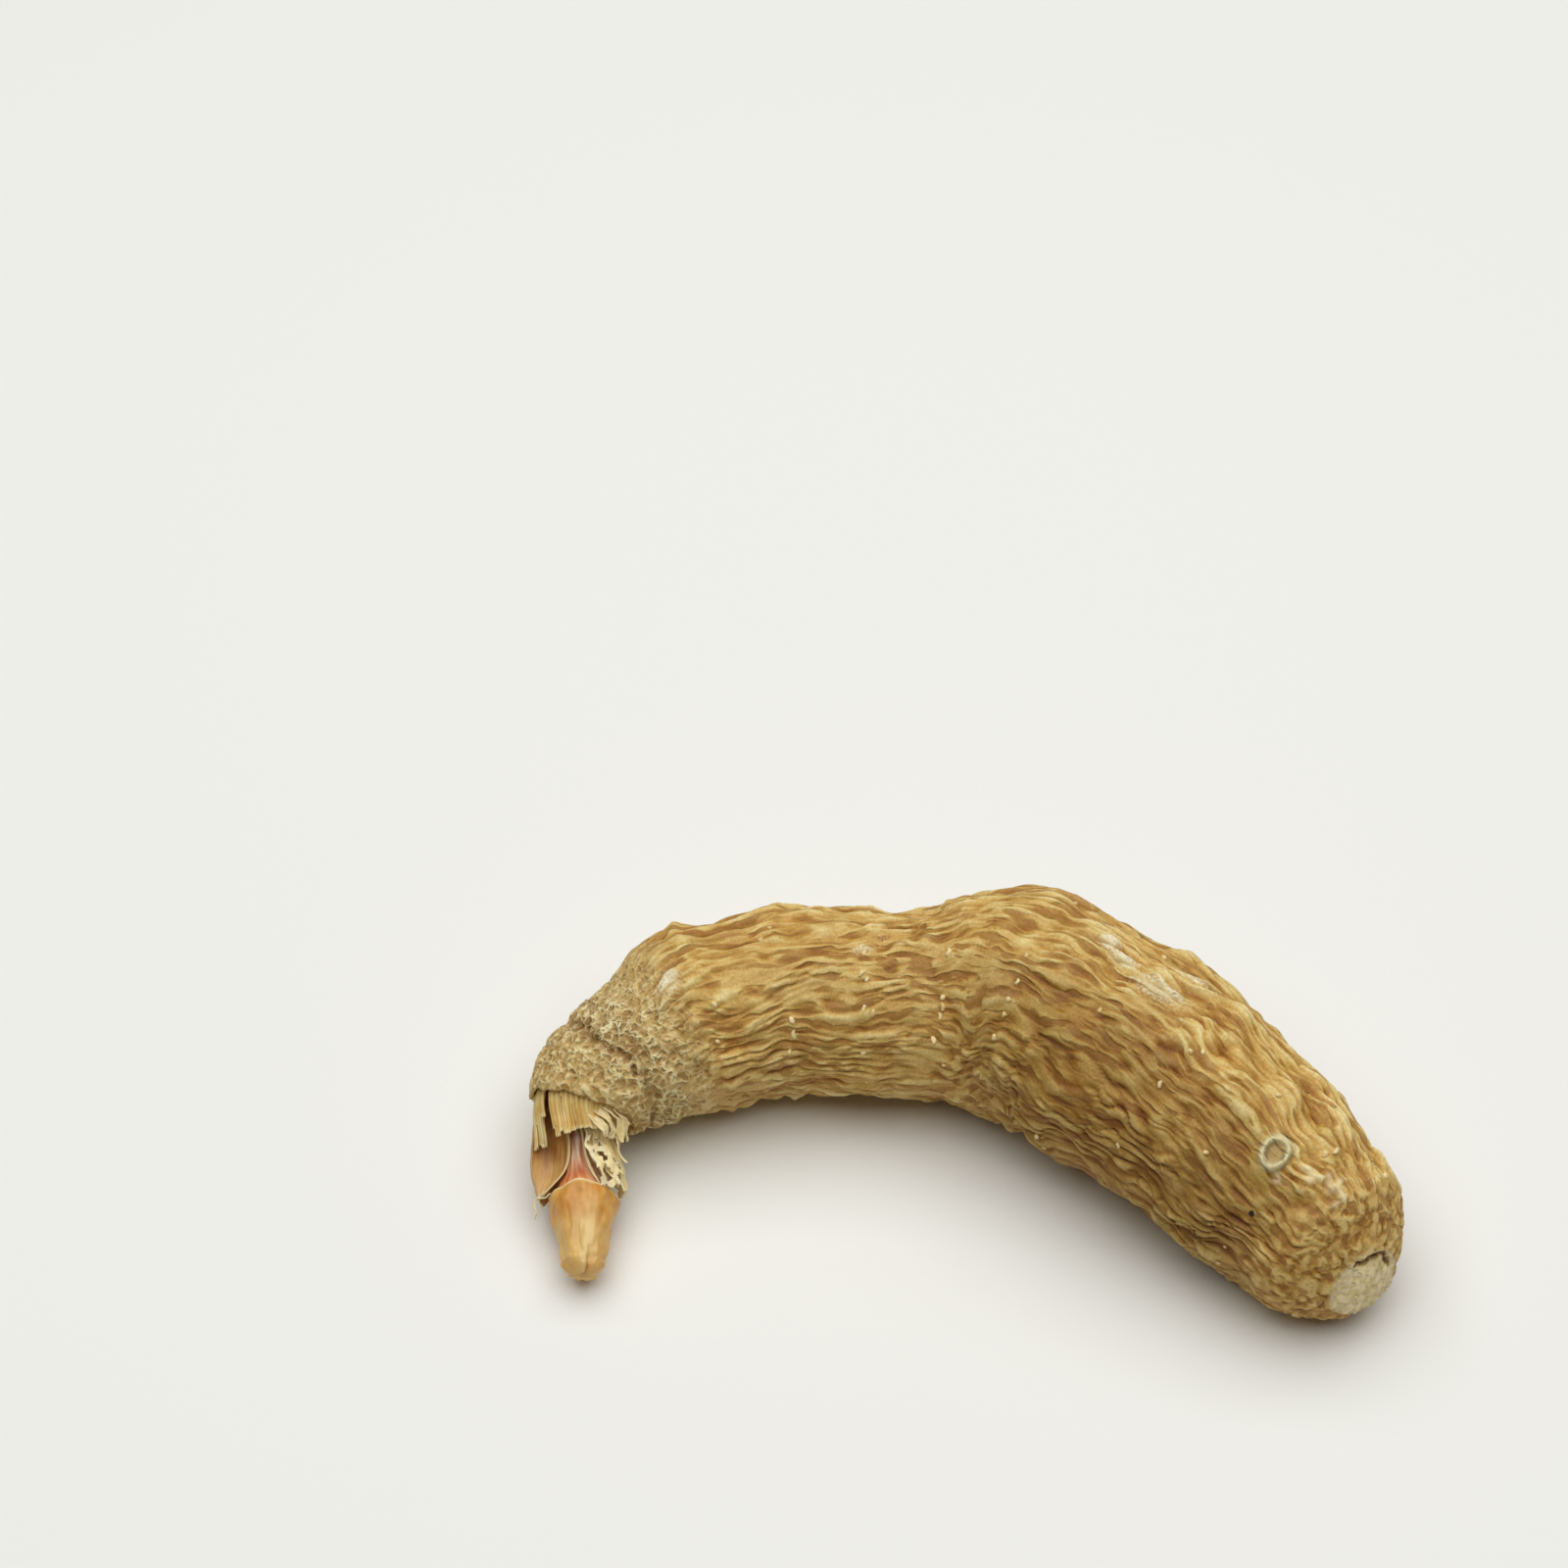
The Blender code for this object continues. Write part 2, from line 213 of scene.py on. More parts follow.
def sheetOf(name, rows, columns):
    # a flat grid, and for each point its row and column
    clearSelection()
    bpy.ops.mesh.primitive_grid_add(x_subdivisions=columns - 1, y_subdivisions=rows - 1, size=2)
    sheet = bpy.context.object
    sheet.name = name
    co = pointsOf(sheet)
    row = np.rint((co[:, 1] + 1) / 2 * (rows - 1)).astype(int)
    column = np.rint((co[:, 0] + 1) / 2 * (columns - 1)).astype(int)
    return sheet, row, column


def tearAway(sheet, row, column, goes):
    # deletes the grid's faces where goes says so for a face's middle row and column
    corners = np.empty(len(sheet.data.loops), int)
    sheet.data.loops.foreach_get("vertex_index", corners)
    corners = corners.reshape(-1, 4)
    gone = goes(row[corners].mean(1), column[corners].mean(1))
    clearSelection()
    bpy.context.view_layer.objects.active = sheet
    sheet.select_set(True)
    bpy.ops.object.mode_set(mode="EDIT")
    bpy.ops.mesh.select_mode(type="FACE")
    bpy.ops.mesh.select_all(action="DESELECT")
    bpy.ops.object.mode_set(mode="OBJECT")
    sheet.data.polygons.foreach_set("select", gone)
    bpy.ops.object.mode_set(mode="EDIT")
    bpy.ops.mesh.delete(type="FACE")
    bpy.ops.object.mode_set(mode="OBJECT")


def thicken(sheet, thickness):
    bpy.context.view_layer.objects.active = sheet
    wall = sheet.modifiers.new("leafWall", "SOLIDIFY")
    wall.thickness = thickness * mm
    wall.offset = 0
    bpy.ops.object.modifier_apply(modifier=wall.name)


def joinInto(name, pieces):
    clearSelection()
    for piece in pieces:
        piece.select_set(True)
    bpy.context.view_layer.objects.active = pieces[0]
    bpy.ops.object.join()
    pieces[0].name = name
    return pieces[0]


def finishPiece(piece, material, node=None):
    piece.data.materials.clear()
    piece.data.materials.append(material)
    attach(piece, "root")
    if node:
        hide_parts(node)


# the tuber's skin

skin = {
    "halfWidths": [
        (0.0, 7.0), (3.0, 8.0), (7.3, 9.5), (12.0, 10.7), (18.0, 12.0), (42.0, 12.6), (50.0, 13.6),
        (58.0, 15.0), (68.0, 15.5), (80.0, 15.0), (93.0, 14.0), (101.0, 13.2), (109.5, 11.9),
    ],
    # swellings and hollows: distance from the neck, reach along, angle round, rise
    "swells": [
        (11.0, 4.0, 45, -1.2), (18.0, 4.0, 45, 0.9), (48.0, 6.5, 45, -1.2), (60.5, 3.5, 45, 0.7),
        (72.5, 4.0, 45, -0.8), (93.0, 6.0, 20, -0.5), (108.0, 5.0, 190, -0.9),
    ],
    "lumpHeight": 0.6, "lumpSize": 17.0, "sway": 0.11,
    "columns": 300, "rings": 330,
    "upperShare": 0.76, "upperFrom": -25, "upperSpan": 232,  # most columns are on the side that shows
    # mm between the mesh's rings at a distance from the neck: closest where the wrinkles are finest
    "ringSteps": [
        (-2, 0.27), (14, 0.27), (26, 0.42), (84, 0.44), (94, 0.42), (112, 0.4), (117, 0.34), (122, 0.32),
    ],
    # distance along and radius of the neck's mouth, from the recess's floor over the rim
    "mouth": [(1.7, 3.1), (1.7, 5.6), (1.2, 6.0), (0.2, 6.15), (-0.55, 6.3), (-0.75, 6.6), (-0.4, 6.95)],
    "rimRun": 7, "discRun": 129.0,  # mm along the skin from the recess's floor
    "domeStart": 109.6, "domeLength": 10.6, "scarRadius": 4.9,
    "restSpots": (17.0, 63.0, 105.0), "restRadius": 5.0, "clearance": 0.4,
    "mapStep": 0.16, "mapRound": 512, "mapAlong": 880,  # the flat map that the wrinkles are drawn on
}


def profileOfTuber():
    # distance along and radius, from the recess's floor over the rim, along the body and round the end
    body = smoothThrough(skin["halfWidths"], 12)
    points = list(skin["mouth"])
    points += [(s, float(np.interp(s, body[:, 0], body[:, 1]))) for s in np.arange(1.6, 109, 2.0)]
    wide = body[-1, 1] - skin["scarRadius"]
    for turn in (0, 18, 34, 48, 60):
        points.append((skin["domeStart"] + skin["domeLength"] * math.sin(math.radians(turn)),
                       skin["scarRadius"] + wide * math.cos(math.radians(turn * 1.45))))
    end = points[-1][0]
    points += [(end + 0.4, 4.85), (end + 0.42, 4.55), (end + 0.5, 4.15), (end + 0.75, 3.5)]
    points += [(end + 1.1, 2.0), (end + 1.2, 0.4)]
    fine = smoothThrough(points, 40)
    run = np.concatenate([[0], np.cumsum(np.hypot(*np.diff(fine, axis=0).T))])
    steps = np.interp(fine[:, 0], *zip(*skin["ringSteps"]))
    steps[run < 4.5] = 0.45
    count = np.concatenate([[0], np.cumsum(np.diff(run) * 2 / (steps[1:] + steps[:-1]))])
    at = np.interp(np.linspace(0, count[-1], skin["rings"]), count, run)
    return np.interp(at, run, fine[:, 0]), np.interp(at, run, fine[:, 1]), at


def plainSkin():
    # the skin before it wrinkles, with the same lumps, sway and swellings as the solid below it
    rings, columns = skin["rings"], skin["columns"]
    s, radius, run = profileOfTuber()
    upper = round(columns * skin["upperShare"])
    start, span = skin["upperFrom"], skin["upperSpan"]
    turn = np.radians(np.concatenate([
        start + span * np.arange(upper) / upper,
        start + span + (360 - span) * np.arange(columns - upper) / (columns - upper),
    ])) % (2 * np.pi)
    cosine, sine = 1.7 * np.cos(turn), 1.7 * np.sin(turn)
    lump = np.empty((rings, columns))
    angle = np.empty((rings, columns))
    for i in range(rings):
        for j in range(columns):
            sway = noise.noise(Vector((s[i] / 9, cosine[j], sine[j])))
            angle[i, j] = turn[j] + skin["sway"] * sway
            lump[i, j] = skin["lumpHeight"] * noise.noise(
                Vector((s[i] / skin["lumpSize"] + 40, 0.6 * cosine[j], 0.6 * sine[j])))
    for at, reach, facing, rise in skin["swells"]:
        share = np.clip(np.cos(angle - math.radians(facing)), 0, None) ** 1.5
        lump += rise * share * np.exp(-(((s - at) / reach) ** 2))[:, None]
    bodyShare = smoothStep(0, 4, s) * (1 - smoothStep(114, 119, s))
    bodyShare[run < skin["rimRun"]] = 0
    lump *= bodyShare[:, None]
    # the neck's rim is ragged
    lip = np.exp(-(((run - 7.2) / 2.0) ** 2))
    ragged = np.array([noise.noise(Vector((4 * math.cos(t), 4 * math.sin(t), 7))) for t in turn])
    sAll = s[:, None] + 0.9 * lip[:, None] * ragged[None, :]
    # the scarred end faces a little upwards
    endTilt = 0.18 * smoothStep(118, 130, run)
    sAll -= endTilt[:, None] * (0.5 + radius[:, None] * np.sin(angle))
    base = onSpine(sAll, angle, radius[:, None] + lump, growth["heightShare"])
    # outward normals of the plain skin
    alongStep = np.gradient(base, axis=0)
    roundStep = (np.roll(base, -1, 1) - np.roll(base, 1, 1)) / 2
    normal = np.cross(roundStep, alongStep)
    normal /= np.linalg.norm(normal, axis=-1, keepdims=True) + 1e-12
    return s, run, turn, base, normal


wavesAlong = np.fft.fftfreq(skin["mapAlong"], skin["mapStep"])[:, None]  # waves per mm
wavesRound = np.fft.rfftfreq(skin["mapRound"], skin["mapStep"])[None, :]


def keptBy(along, across):
    # how much of each wave is left by a blur of that size in mm
    return np.exp(-2.5 * ((wavesAlong * along) ** 2 + (wavesRound * across) ** 2))


def mapField(seed, kept):
    # seeded noise on the map of the skin, with that share of each wave, and a spread of 1
    rng = np.random.default_rng(seed)
    wave = np.fft.rfft2(rng.normal(size=(skin["mapAlong"], skin["mapRound"])))
    field = np.fft.irfft2(wave * kept, s=(skin["mapAlong"], skin["mapRound"]))
    return (field - field.mean()) / field.std()


def mapNoise(along, across, seed):
    # smooth noise; sizes in mm
    return mapField(seed, keptBy(along, across))


def mapFolds(length, spacing, seed, spread):
    # noise in folds of one spacing, drawn out lengthwise to about that length; sizes in mm
    size = spacing * np.hypot(wavesRound, wavesAlong)
    return mapField(seed, np.exp(-((np.log(size + 1e-6) / spread) ** 2)) * keptBy(length, 0))


def mapBlur(field, size):
    return np.fft.irfft2(np.fft.rfft2(field) * keptBy(size, size), s=field.shape)


def pleats(field, narrow):
    # rounded folds with a groove along each line where the field changes sign
    return 1 - np.exp(-(np.sqrt(field**2 + 0.01) - 0.1) / narrow)


# places are in mm from the neck and degrees round from the bow side, where 90 is on top
marks = {
    # small knobs and dents: place, reach, rise
    "knobs": [
        (59.8, 42, 1.9, 0.55), (19.7, 36, 2.2, 0.4), (28.5, 52, 1.5, 0.35), (40.1, 45, 1.6, 0.35),
        (64.2, 101, 1.5, 0.3), (23.3, 92, 1.4, -0.35), (62.7, 84, 2.4, -0.3), (51.5, 58, 1.5, 0.25),
        (87.0, 62, 2.0, 0.3), (97.0, 55, 1.8, 0.25), (106.4, 77, 1.3, 0.3), (75.5, 60, 1.6, 0.3),
    ],
    # the round scar of a side shoot: place, radius
    "ringScar": (102.5, 104.7, 1.5), "ringSquash": 0.8,
    "pinhole": (105.9, 137.9),
    # worm-like traces: place, heading in degrees from lengthwise, length
    "traces": [(104.6, 111, 70, 1.8), (108.5, 96, -20, 4.5), (111.5, 92, 35, 3.0)],
    # skin scuffed pale and flaky: place, reach along, reach round, strength
    "scuffs": [
        (71.0, 76, 1.6, 1.4, 1.0), (73.9, 79, 2.2, 1.5, 1.0), (79.5, 84, 4.5, 2.2, 0.75),
        (81.0, 65, 3.0, 1.5, 0.6), (15.5, 96, 2.2, 2.4, 0.8), (40.9, 97, 2.6, 1.3, 0.6),
        (43.5, 88, 2.6, 1.0, 0.4), (112.0, 60, 3.5, 3.0, 0.35),
    ],
    "rings": [8.0, 19.0, 30.0, 41.3, 51.6, 64.5, 76.0, 87.0, 97.0, 106.0],
    # the flecks that the photo shows on the rings: place, length round
    "flecks": [
        (30.6, 141, 0.9), (30.4, 150, 1.5), (29.9, 162, 0.8), (40.8, 98.8, 0.9), (52.6, 103.7, 1.6),
        (50.6, 153.6, 1.0), (28.5, 80, 0.8), (64.1, 100.8, 1.1), (64.8, 119, 1.0), (64.8, 135, 0.9),
        (64.8, 129, 0.6), (42.2, 136, 1.0), (19.5, 120, 0.8), (97.6, 84, 0.9), (88.4, 96, 0.7),
        (76.3, 112, 0.8), (106.6, 78, 1.3), (112.1, 47, 0.9), (52.0, 131, 0.7), (41.5, 118, 0.7),
    ],
}


def markDistance(s, run, turn, radius, place):
    # mm along and mm round from a place on the skin
    along = run[:, None] - np.interp(place[0], s[s.argmin():], run[s.argmin():])
    away = (turn[None, :] - math.radians(place[1]) + np.pi) % (2 * np.pi) - np.pi
    return np.repeat(along, len(turn), 1), away * radius[:, None]


def drawWrinkles(s, run):
    # the map of the wrinkles: their height in mm, and how far each point stands above its surroundings
    along = np.arange(skin["mapAlong"]) * skin["mapStep"]
    sOfRow = np.interp(along, run, s)[:, None]
    row, column = np.meshgrid(np.arange(skin["mapAlong"]), np.arange(skin["mapRound"]), indexing="ij")

    # kinks carry the folds from side to side, most towards the scarred end
    kinkSize = np.interp(sOfRow, [0, 30, 54, 68, 90, 120], [0.3, 0.3, 0.32, 0.5, 0.65, 0.55])
    kink = kinkSize * np.tanh(1.5 * mapNoise(3.4, 5.0, 41)) + 0.7 * mapNoise(20, 14, 42)
    shifted = column + kink / skin["mapStep"]

    # main folds 1.5 mm apart that fade in and out, and finer ones on and between them
    main = pleats(sampled(mapFolds(7.5, 2.9, 40, 0.32), row, shifted), 0.6)
    shown = smoothStep(-1.3, 0.9, sampled(mapNoise(4.5, 2.0, 43), row, shifted))
    second = pleats(sampled(mapFolds(5.5, 2.2, 46, 0.34), row, shifted), 0.7)
    secondShown = smoothStep(-1.0, 1.0, sampled(mapNoise(3.0, 2.0, 49), row, shifted))
    patch = np.clip(0.95 + 0.25 * mapNoise(10, 7, 47), 0.5, 1.4)
    deep = np.interp(sOfRow, [0, 20, 45, 68, 95, 110, 122], [0.46, 0.55, 0.62, 0.75, 0.93, 0.88, 0.65])
    long = deep * patch * (main * (0.25 + 0.75 * shown) + 0.4 * second * (0.3 + 0.7 * secondShown) - 0.55)
    long += 0.17 * mapNoise(7, 4, 44) + 0.15 * mapNoise(2.4, 1.8, 45)

    ragged = sOfRow + 2.5 * mapNoise(4, 6, 71)
    neckShare = 1 - smoothStep(9.5, 17, ragged)
    endShare = np.maximum(smoothStep(108, 116.5, ragged), smoothStep(113, 117, sOfRow))
    long = (long + 0.016 * mapNoise(0.9, 0.45, 72)) * (1 - neckShare) * (1 - endShare)
    return long, long - mapBlur(long, 2.4), neckShare, endShare


def creaseAt(spot, size):
    # 0 along the lines where noise in space changes sign, 1 away from them
    field = noise.noise(spot / size)
    return 1 - math.exp(-((field / 0.24) ** 2))


def drawMarks(s, run, turn, radius, height, raised):
    # adds the marks to the skin's relief, and returns how scarred and how scuffed each point is
    scar = np.zeros(height.shape)
    scuff = np.zeros(height.shape)
    for place in marks["knobs"]:
        a, b = markDistance(s, run, turn, radius, place)
        height += place[3] * np.exp(-((a**2 + b**2) / place[2] ** 2))
    a, b = markDistance(s, run, turn, radius, marks["ringScar"])
    size = marks["ringScar"][2]
    away = np.hypot(a, b * marks["ringSquash"])
    calm = 1 - smoothStep(size + 0.5, size + 1.3, away)
    ring = 0.5 * np.exp(-(((away - size) / 0.5) ** 2))
    height += calm * (0.1 - height) + ring
    raised += calm * (0.05 - raised)
    for at, facing, heading, length in marks["traces"]:
        a, b = markDistance(s, run, turn, radius, (at, facing))
        c, d = math.cos(math.radians(heading)), math.sin(math.radians(heading))
        lengthwise, across = a * c + b * d, b * c - a * d
        across += 0.5 * np.sin(lengthwise * 2.2)
        worm = np.exp(-((across / 0.55) ** 2))
        worm *= 1 - smoothStep(length / 2, length / 2 + 0.8, abs(lengthwise))
        height += 0.42 * worm
        raised += 0.25 * worm
        scar = np.maximum(scar, 0.4 * worm)
    for at, facing, reachAlong, reachRound, strength in marks["scuffs"]:
        a, b = markDistance(s, run, turn, radius, (at, facing))
        scuff = np.maximum(scuff, strength * np.exp(-((a / reachAlong) ** 2 + (b / reachRound) ** 2)))
    return scar, scuff


def makeTuber():
    rings, columns = skin["rings"], skin["columns"]
    s, run, turn, base, normal = plainSkin()
    print("tuber: plain skin shaped")
    maps = drawWrinkles(s, run)
    print("tuber: wrinkles drawn")
    rowAt = np.repeat((run / skin["mapStep"])[:, None], columns, 1)
    columnAt = np.repeat((turn / (2 * np.pi) * skin["mapRound"])[None, :], rings, 0)
    height, raised, neckShare, endShare = (sampled(each, rowAt, columnAt) for each in maps)

    # how far the skin is from the spine, across it
    centre = spineAt(s + neckRun)
    heading = spineAt(s + neckRun + 0.5) - spineAt(s + neckRun - 0.5)
    heading /= np.linalg.norm(heading, axis=1, keepdims=True)
    fromSpine = base - centre[:, None, :]
    fromSpine -= (fromSpine * heading[:, None, :]).sum(-1, keepdims=True) * heading[:, None, :]
    meanRadius = np.linalg.norm(fromSpine, axis=-1).mean(1)
    # both ends are drawn in space, where a map would streak: a net of narrow ridges round pits on the
    # neck, and short folds that curl every way on the scarred end and its papery disc
    discRun = skin["discRun"]
    disc = smoothStep(discRun, discRun + 1.2, run)
    floor = 1 - smoothStep(3.5, 5.5, run)
    neckShare = np.maximum(neckShare, floor[:, None])
    for i, j in zip(*np.nonzero((neckShare > 0) | (endShare > 0))):
        spot = Vector(base[i, j])
        wide = noise.noise(spot / 2.6)
        if neckShare[i, j] > 0:
            net = 0.34 * (1 - creaseAt(spot, 1.4)) - 0.14 + 0.4 * wide
            height[i, j] += neckShare[i, j] * net
            raised[i, j] += neckShare[i, j] * (net - 0.3 * wide)
        if endShare[i, j] > 0:
            lifted = spot + Vector((0, 0, 1.2 * wide))
            fold = (0.36 - 0.14 * disc[i]) * creaseAt(lifted, 1.7 - 0.6 * disc[i]) - 0.22
            fold += (0.2 - 0.1 * disc[i]) * wide
            height[i, j] += endShare[i, j] * fold
            raised[i, j] += endShare[i, j] * (fold - 0.2 * wide + 0.08 * disc[i])

    scar, scuff = drawMarks(s, run, turn, meanRadius, height, raised)
    # the crack along the disc's upper edge
    wavy = 0.6 * np.sin(5 * turn) + 0.3 * np.sin(13 * turn)
    across = (run[:, None] - discRun - 1.2 - 0.5 * wavy[None, :]) / 0.35
    span = smoothStep(5, 20, np.degrees(turn)) * (1 - smoothStep(100, 120, np.degrees(turn)))
    crack = np.exp(-(across**2)) * span[None, :]
    height -= 0.5 * crack
    # painted shade: lowering raised paints the crack dark, standing in for the shade inside it
    raised -= 0.7 * crack
    # partly painted light: the disc takes the scar tones, whose upper end is paler than its own straw, to
    # lift the shade it sits in
    scar = np.maximum(scar, 0.85 * smoothStep(discRun - 0.1, discRun + 0.7, run)[:, None])

    # the neck's rim is a cuff about 4 mm long, with a groove behind it
    pastRim = run[:, None] > skin["rimRun"]
    cuff = 0.22 * np.exp(-(((s[:, None] - 2.2) / 1.6) ** 2)) * pastRim
    groove = np.exp(-(((s[:, None] - 5.1 - 0.5 * np.sin(3 * turn) - 0.3 * np.sin(7 * turn)) / 0.7) ** 2))
    height += cuff - 0.6 * groove
    # partly painted shade: the groove behind the cuff is painted darker through raised, as well as being sunk
    raised -= 0.35 * groove
    # ring nodes: a faint raised line
    wobble = sampled(mapNoise(60, 9, 81), rowAt, columnAt)
    for at in marks["rings"]:
        line = np.exp(-(((s[:, None] - at - 0.5 * wobble) / 0.55) ** 2)) * pastRim
        height += (0.14 + 0.1 * wobble) * line
        raised += 0.05 * line
    quiet = np.maximum(smoothStep(5.4, 6.8, run), 0.6 * floor)
    height *= quiet[:, None]

    points = base + normal * height[..., None]
    # pressed flat on the rest spots, just clear of the surface elsewhere
    spots = spineAt(np.array(skin["restSpots"]) + neckRun)
    near = np.min([np.hypot(points[..., 0] - q[0], points[..., 1] - q[1]) for q in spots], axis=0)
    lowest = np.where(near < skin["restRadius"], 0.0, skin["clearance"] * smoothStep(5.0, 6.0, near))
    points[..., 2] = np.maximum(points[..., 2], lowest)

    tuber, ring, column = tubeOf("tuberSkin", columns, rings)
    poles = onSpine(np.array([s[0], s[-1] + 0.2]), np.zeros(2), np.zeros(2), 1.0)
    atPole = column < 0
    pole = np.where((ring == 0)[:, None], poles[0], poles[1])
    placePoints(tuber, np.where(atPole[:, None], pole, points[ring, column]))

    def pick(values, first, last):
        return np.where(atPole, np.where(ring == 0, first, last), values[ring, column])

    # ridge carries raised into the colour: the lower a point lies below its surroundings, the darker it is
    # painted, partly the skin's own brown and partly painted shade
    pointValues(tuber, "ridge", pick(np.clip(0.57 + raised / 0.78, 0, 1), 0.2, 0.5))
    pointValues(tuber, "scar", pick(scar, 0, 0.85))
    pointValues(tuber, "scuff", pick(scuff, 0, 0))
    # painted shade on the lower flank: how strongly it darkens, along the tuber and round it
    flankShadeAlong = np.interp(s, [0, 25, 50, 72, 105, 113], [0, 0.1, 0.25, 0.95, 0.9, 0.3])
    flankShade = smoothStep(92, 122, np.degrees(turn)) * flankShadeAlong[:, None]
    pointValues(tuber, "flankShade", pick(flankShade, 0, 0))
    pointValues(tuber, "along", pick(np.repeat(s[:, None], columns, 1), 0, 120))
    # where the material's patterns are drawn: round and along, in mm, as if the tuber were straight
    straight = np.stack([meanRadius[:, None] * np.cos(turn), meanRadius[:, None] * np.sin(turn),
                         np.repeat(s[:, None], columns, 1)], -1)
    middle = np.where((ring == 0)[:, None], [0, 0, 0], [0, 0, 120])
    straight = np.where(atPole[:, None], middle, straight[ring, column])
    pointValues(tuber, "skinPlace", straight, "FLOAT_VECTOR")
    smoothShade(tuber)
    return tuber, (s, run, turn, points, normal, meanRadius)


def skinSpot(at, facing):
    # a place on the skin as the attribute skinPlace holds it
    s, meanRadius = laidSkin[0], laidSkin[5]
    radius = np.interp(at, s[40:], meanRadius[40:])  # past the neck's mouth
    return radius * math.cos(math.radians(facing)), radius * math.sin(math.radians(facing)), at


def driedSkin():
    # Tuber skin, steamed and dried: it shrank into matte straw-coloured ridges, with warm brown grooves,
    # partly where juice dried in and partly painted shade that darkens them the lower they lie, finer creases
    # on the ridges, and paler scuffed places.
    material, tree, shader = newMaterial("driedTuberSkin")
    ridge, scar, scuff, along, flankShade = [
        addNode(tree, "Attribute", out="Fac", attribute_name=name)
        for name in ("ridge", "scar", "scuff", "along", "flankShade")]
    place = addNode(tree, "Attribute", out="Vector", attribute_name="skinPlace")  # in mm
    grain = addNode(tree, "TexNoise", {"Vector": place, "Scale": 3.0, "Detail": 2.0})
    neck = addNode(tree, "MapRange", {"Value": along, "From Min": 18.0, "From Max": 9.0})

    # finer folds about 1.5 mm apart on the main ones, wavering from side to side
    waver = addNode(tree, "TexNoise", {"Vector": place, "Scale": 0.28, "Detail": 1.0}, out="Color")
    swayed = addNode(tree, "VectorMath", {0: waver, 1: (2.0, 2.0, 2.0), 2: place}, operation="MULTIPLY_ADD")
    foldPlace = addNode(tree, "Mapping", {"Vector": swayed, "Scale": (1.05, 1.05, 0.13)})
    foldNoise = addNode(tree, "TexNoise", {"Vector": foldPlace, "Scale": 1.0, "Detail": 1.0})
    crease = addNode(tree, "MapRange", {"Value": foldNoise, "From Min": 0.35, "From Max": 0.57},
                     interpolation_type="SMOOTHSTEP")
    # the neck's net of narrow ridges round pits 1 mm wide
    spot = addNode(tree, "TexCoord", out="Object")
    netWaver = addNode(tree, "TexNoise", {"Vector": spot, "Scale": 600.0, "Detail": 2.0}, out="Color")
    netPlace = addNode(tree, "VectorMath", {0: netWaver, 1: (0.0022, 0.0022, 0.0022), 2: spot},
                       operation="MULTIPLY_ADD")
    cells = addNode(tree, "TexVoronoi", {"Vector": netPlace, "Scale": 850.0}, out="Distance",
                    feature="DISTANCE_TO_EDGE")
    netLine = addNode(tree, "MapRange", {"Value": cells, "From Min": 0.36, "From Max": 0.02},
                      interpolation_type="SMOOTHSTEP")
    netBreak = addNode(tree, "TexNoise", {"Vector": spot, "Scale": 900.0, "Detail": 1.0})
    netSize = addNode(tree, "MapRange", {"Value": netBreak, "From Min": 0.35, "From Max": 0.62,
                                         "To Min": 0.3})
    net = addNode(tree, "Math", {0: netLine, 1: netSize}, operation="MULTIPLY")
    cuff = addNode(tree, "MapRange", {"Value": along, "From Min": 2.0, "From Max": 5.0, "To Min": 0.65})
    netShare = addNode(tree, "Math", {0: neck, 1: cuff}, operation="MULTIPLY")

    # blotches a few mm across and wide pale places
    blotchPlace = addNode(tree, "Mapping", {"Vector": place, "Scale": (0.3, 0.3, 0.16)})
    blotch = addNode(tree, "TexNoise", {"Vector": blotchPlace, "Scale": 1.0, "Detail": 2.5})
    cloud = addNode(tree, "TexNoise", {"Vector": place, "Scale": 0.07, "Detail": 2.0})
    # partly painted shade: the tone darkens with how low each point lies in its groove
    tone = addNode(tree, "ValToRGB", {"Fac": ridge}, steps=[
        (0.0, "#9d6d23"), (0.25, "#be9144"), (0.5, "#d8b365"), (0.72, "#e5c97f"), (1.0, "#f4e1a3")])
    warmShare = addNode(tree, "MapRange", {"Value": blotch, "From Min": 0.48, "From Max": 0.72,
                                           "To Max": 0.35})
    warm = addNode(tree, "MixRGB", {"Fac": warmShare, "Color1": tone, "Color2": linear("#ecc888")},
                   blend_type="MULTIPLY")
    paleShare = addNode(tree, "MapRange", {"Value": cloud, "From Min": 0.5, "From Max": 0.72, "To Max": 0.35})
    pale = addNode(tree, "MixRGB", {"Fac": paleShare, "Color1": warm, "Color2": linear("#dcc68c")})
    # partly painted shade: the fine creases are tinted darker along their lines, where their bump lies lowest
    creaseTone = addNode(tree, "ValToRGB", {"Fac": crease}, steps=[
        (0.0, "#b98c48"), (0.5, "#ead6a8"), (1.0, "#ffffff")])
    creaseShare = addNode(tree, "Math", {0: 0.75, 1: netShare}, operation="SUBTRACT", use_clamp=True)
    furrowed = addNode(tree, "MixRGB", {"Fac": creaseShare, "Color1": pale, "Color2": creaseTone},
                      blend_type="MULTIPLY")
    # painted shade: past the top, from about 92 degrees round, the skin is darkened where it gets less light,
    # most from 72 to 105 mm along
    flankShaded = addNode(tree, "MixRGB", {"Fac": flankShade, "Color1": furrowed, "Color2": linear("#ccbf9e")},
                      blend_type="MULTIPLY")
    grainTone = addNode(tree, "ValToRGB", {"Fac": grain}, steps=[(0.35, "#ded3bd"), (0.6, "#ffffff")])
    grained = addNode(tree, "MixRGB", {"Fac": 0.6, "Color1": flankShaded, "Color2": grainTone},
                      blend_type="MULTIPLY")
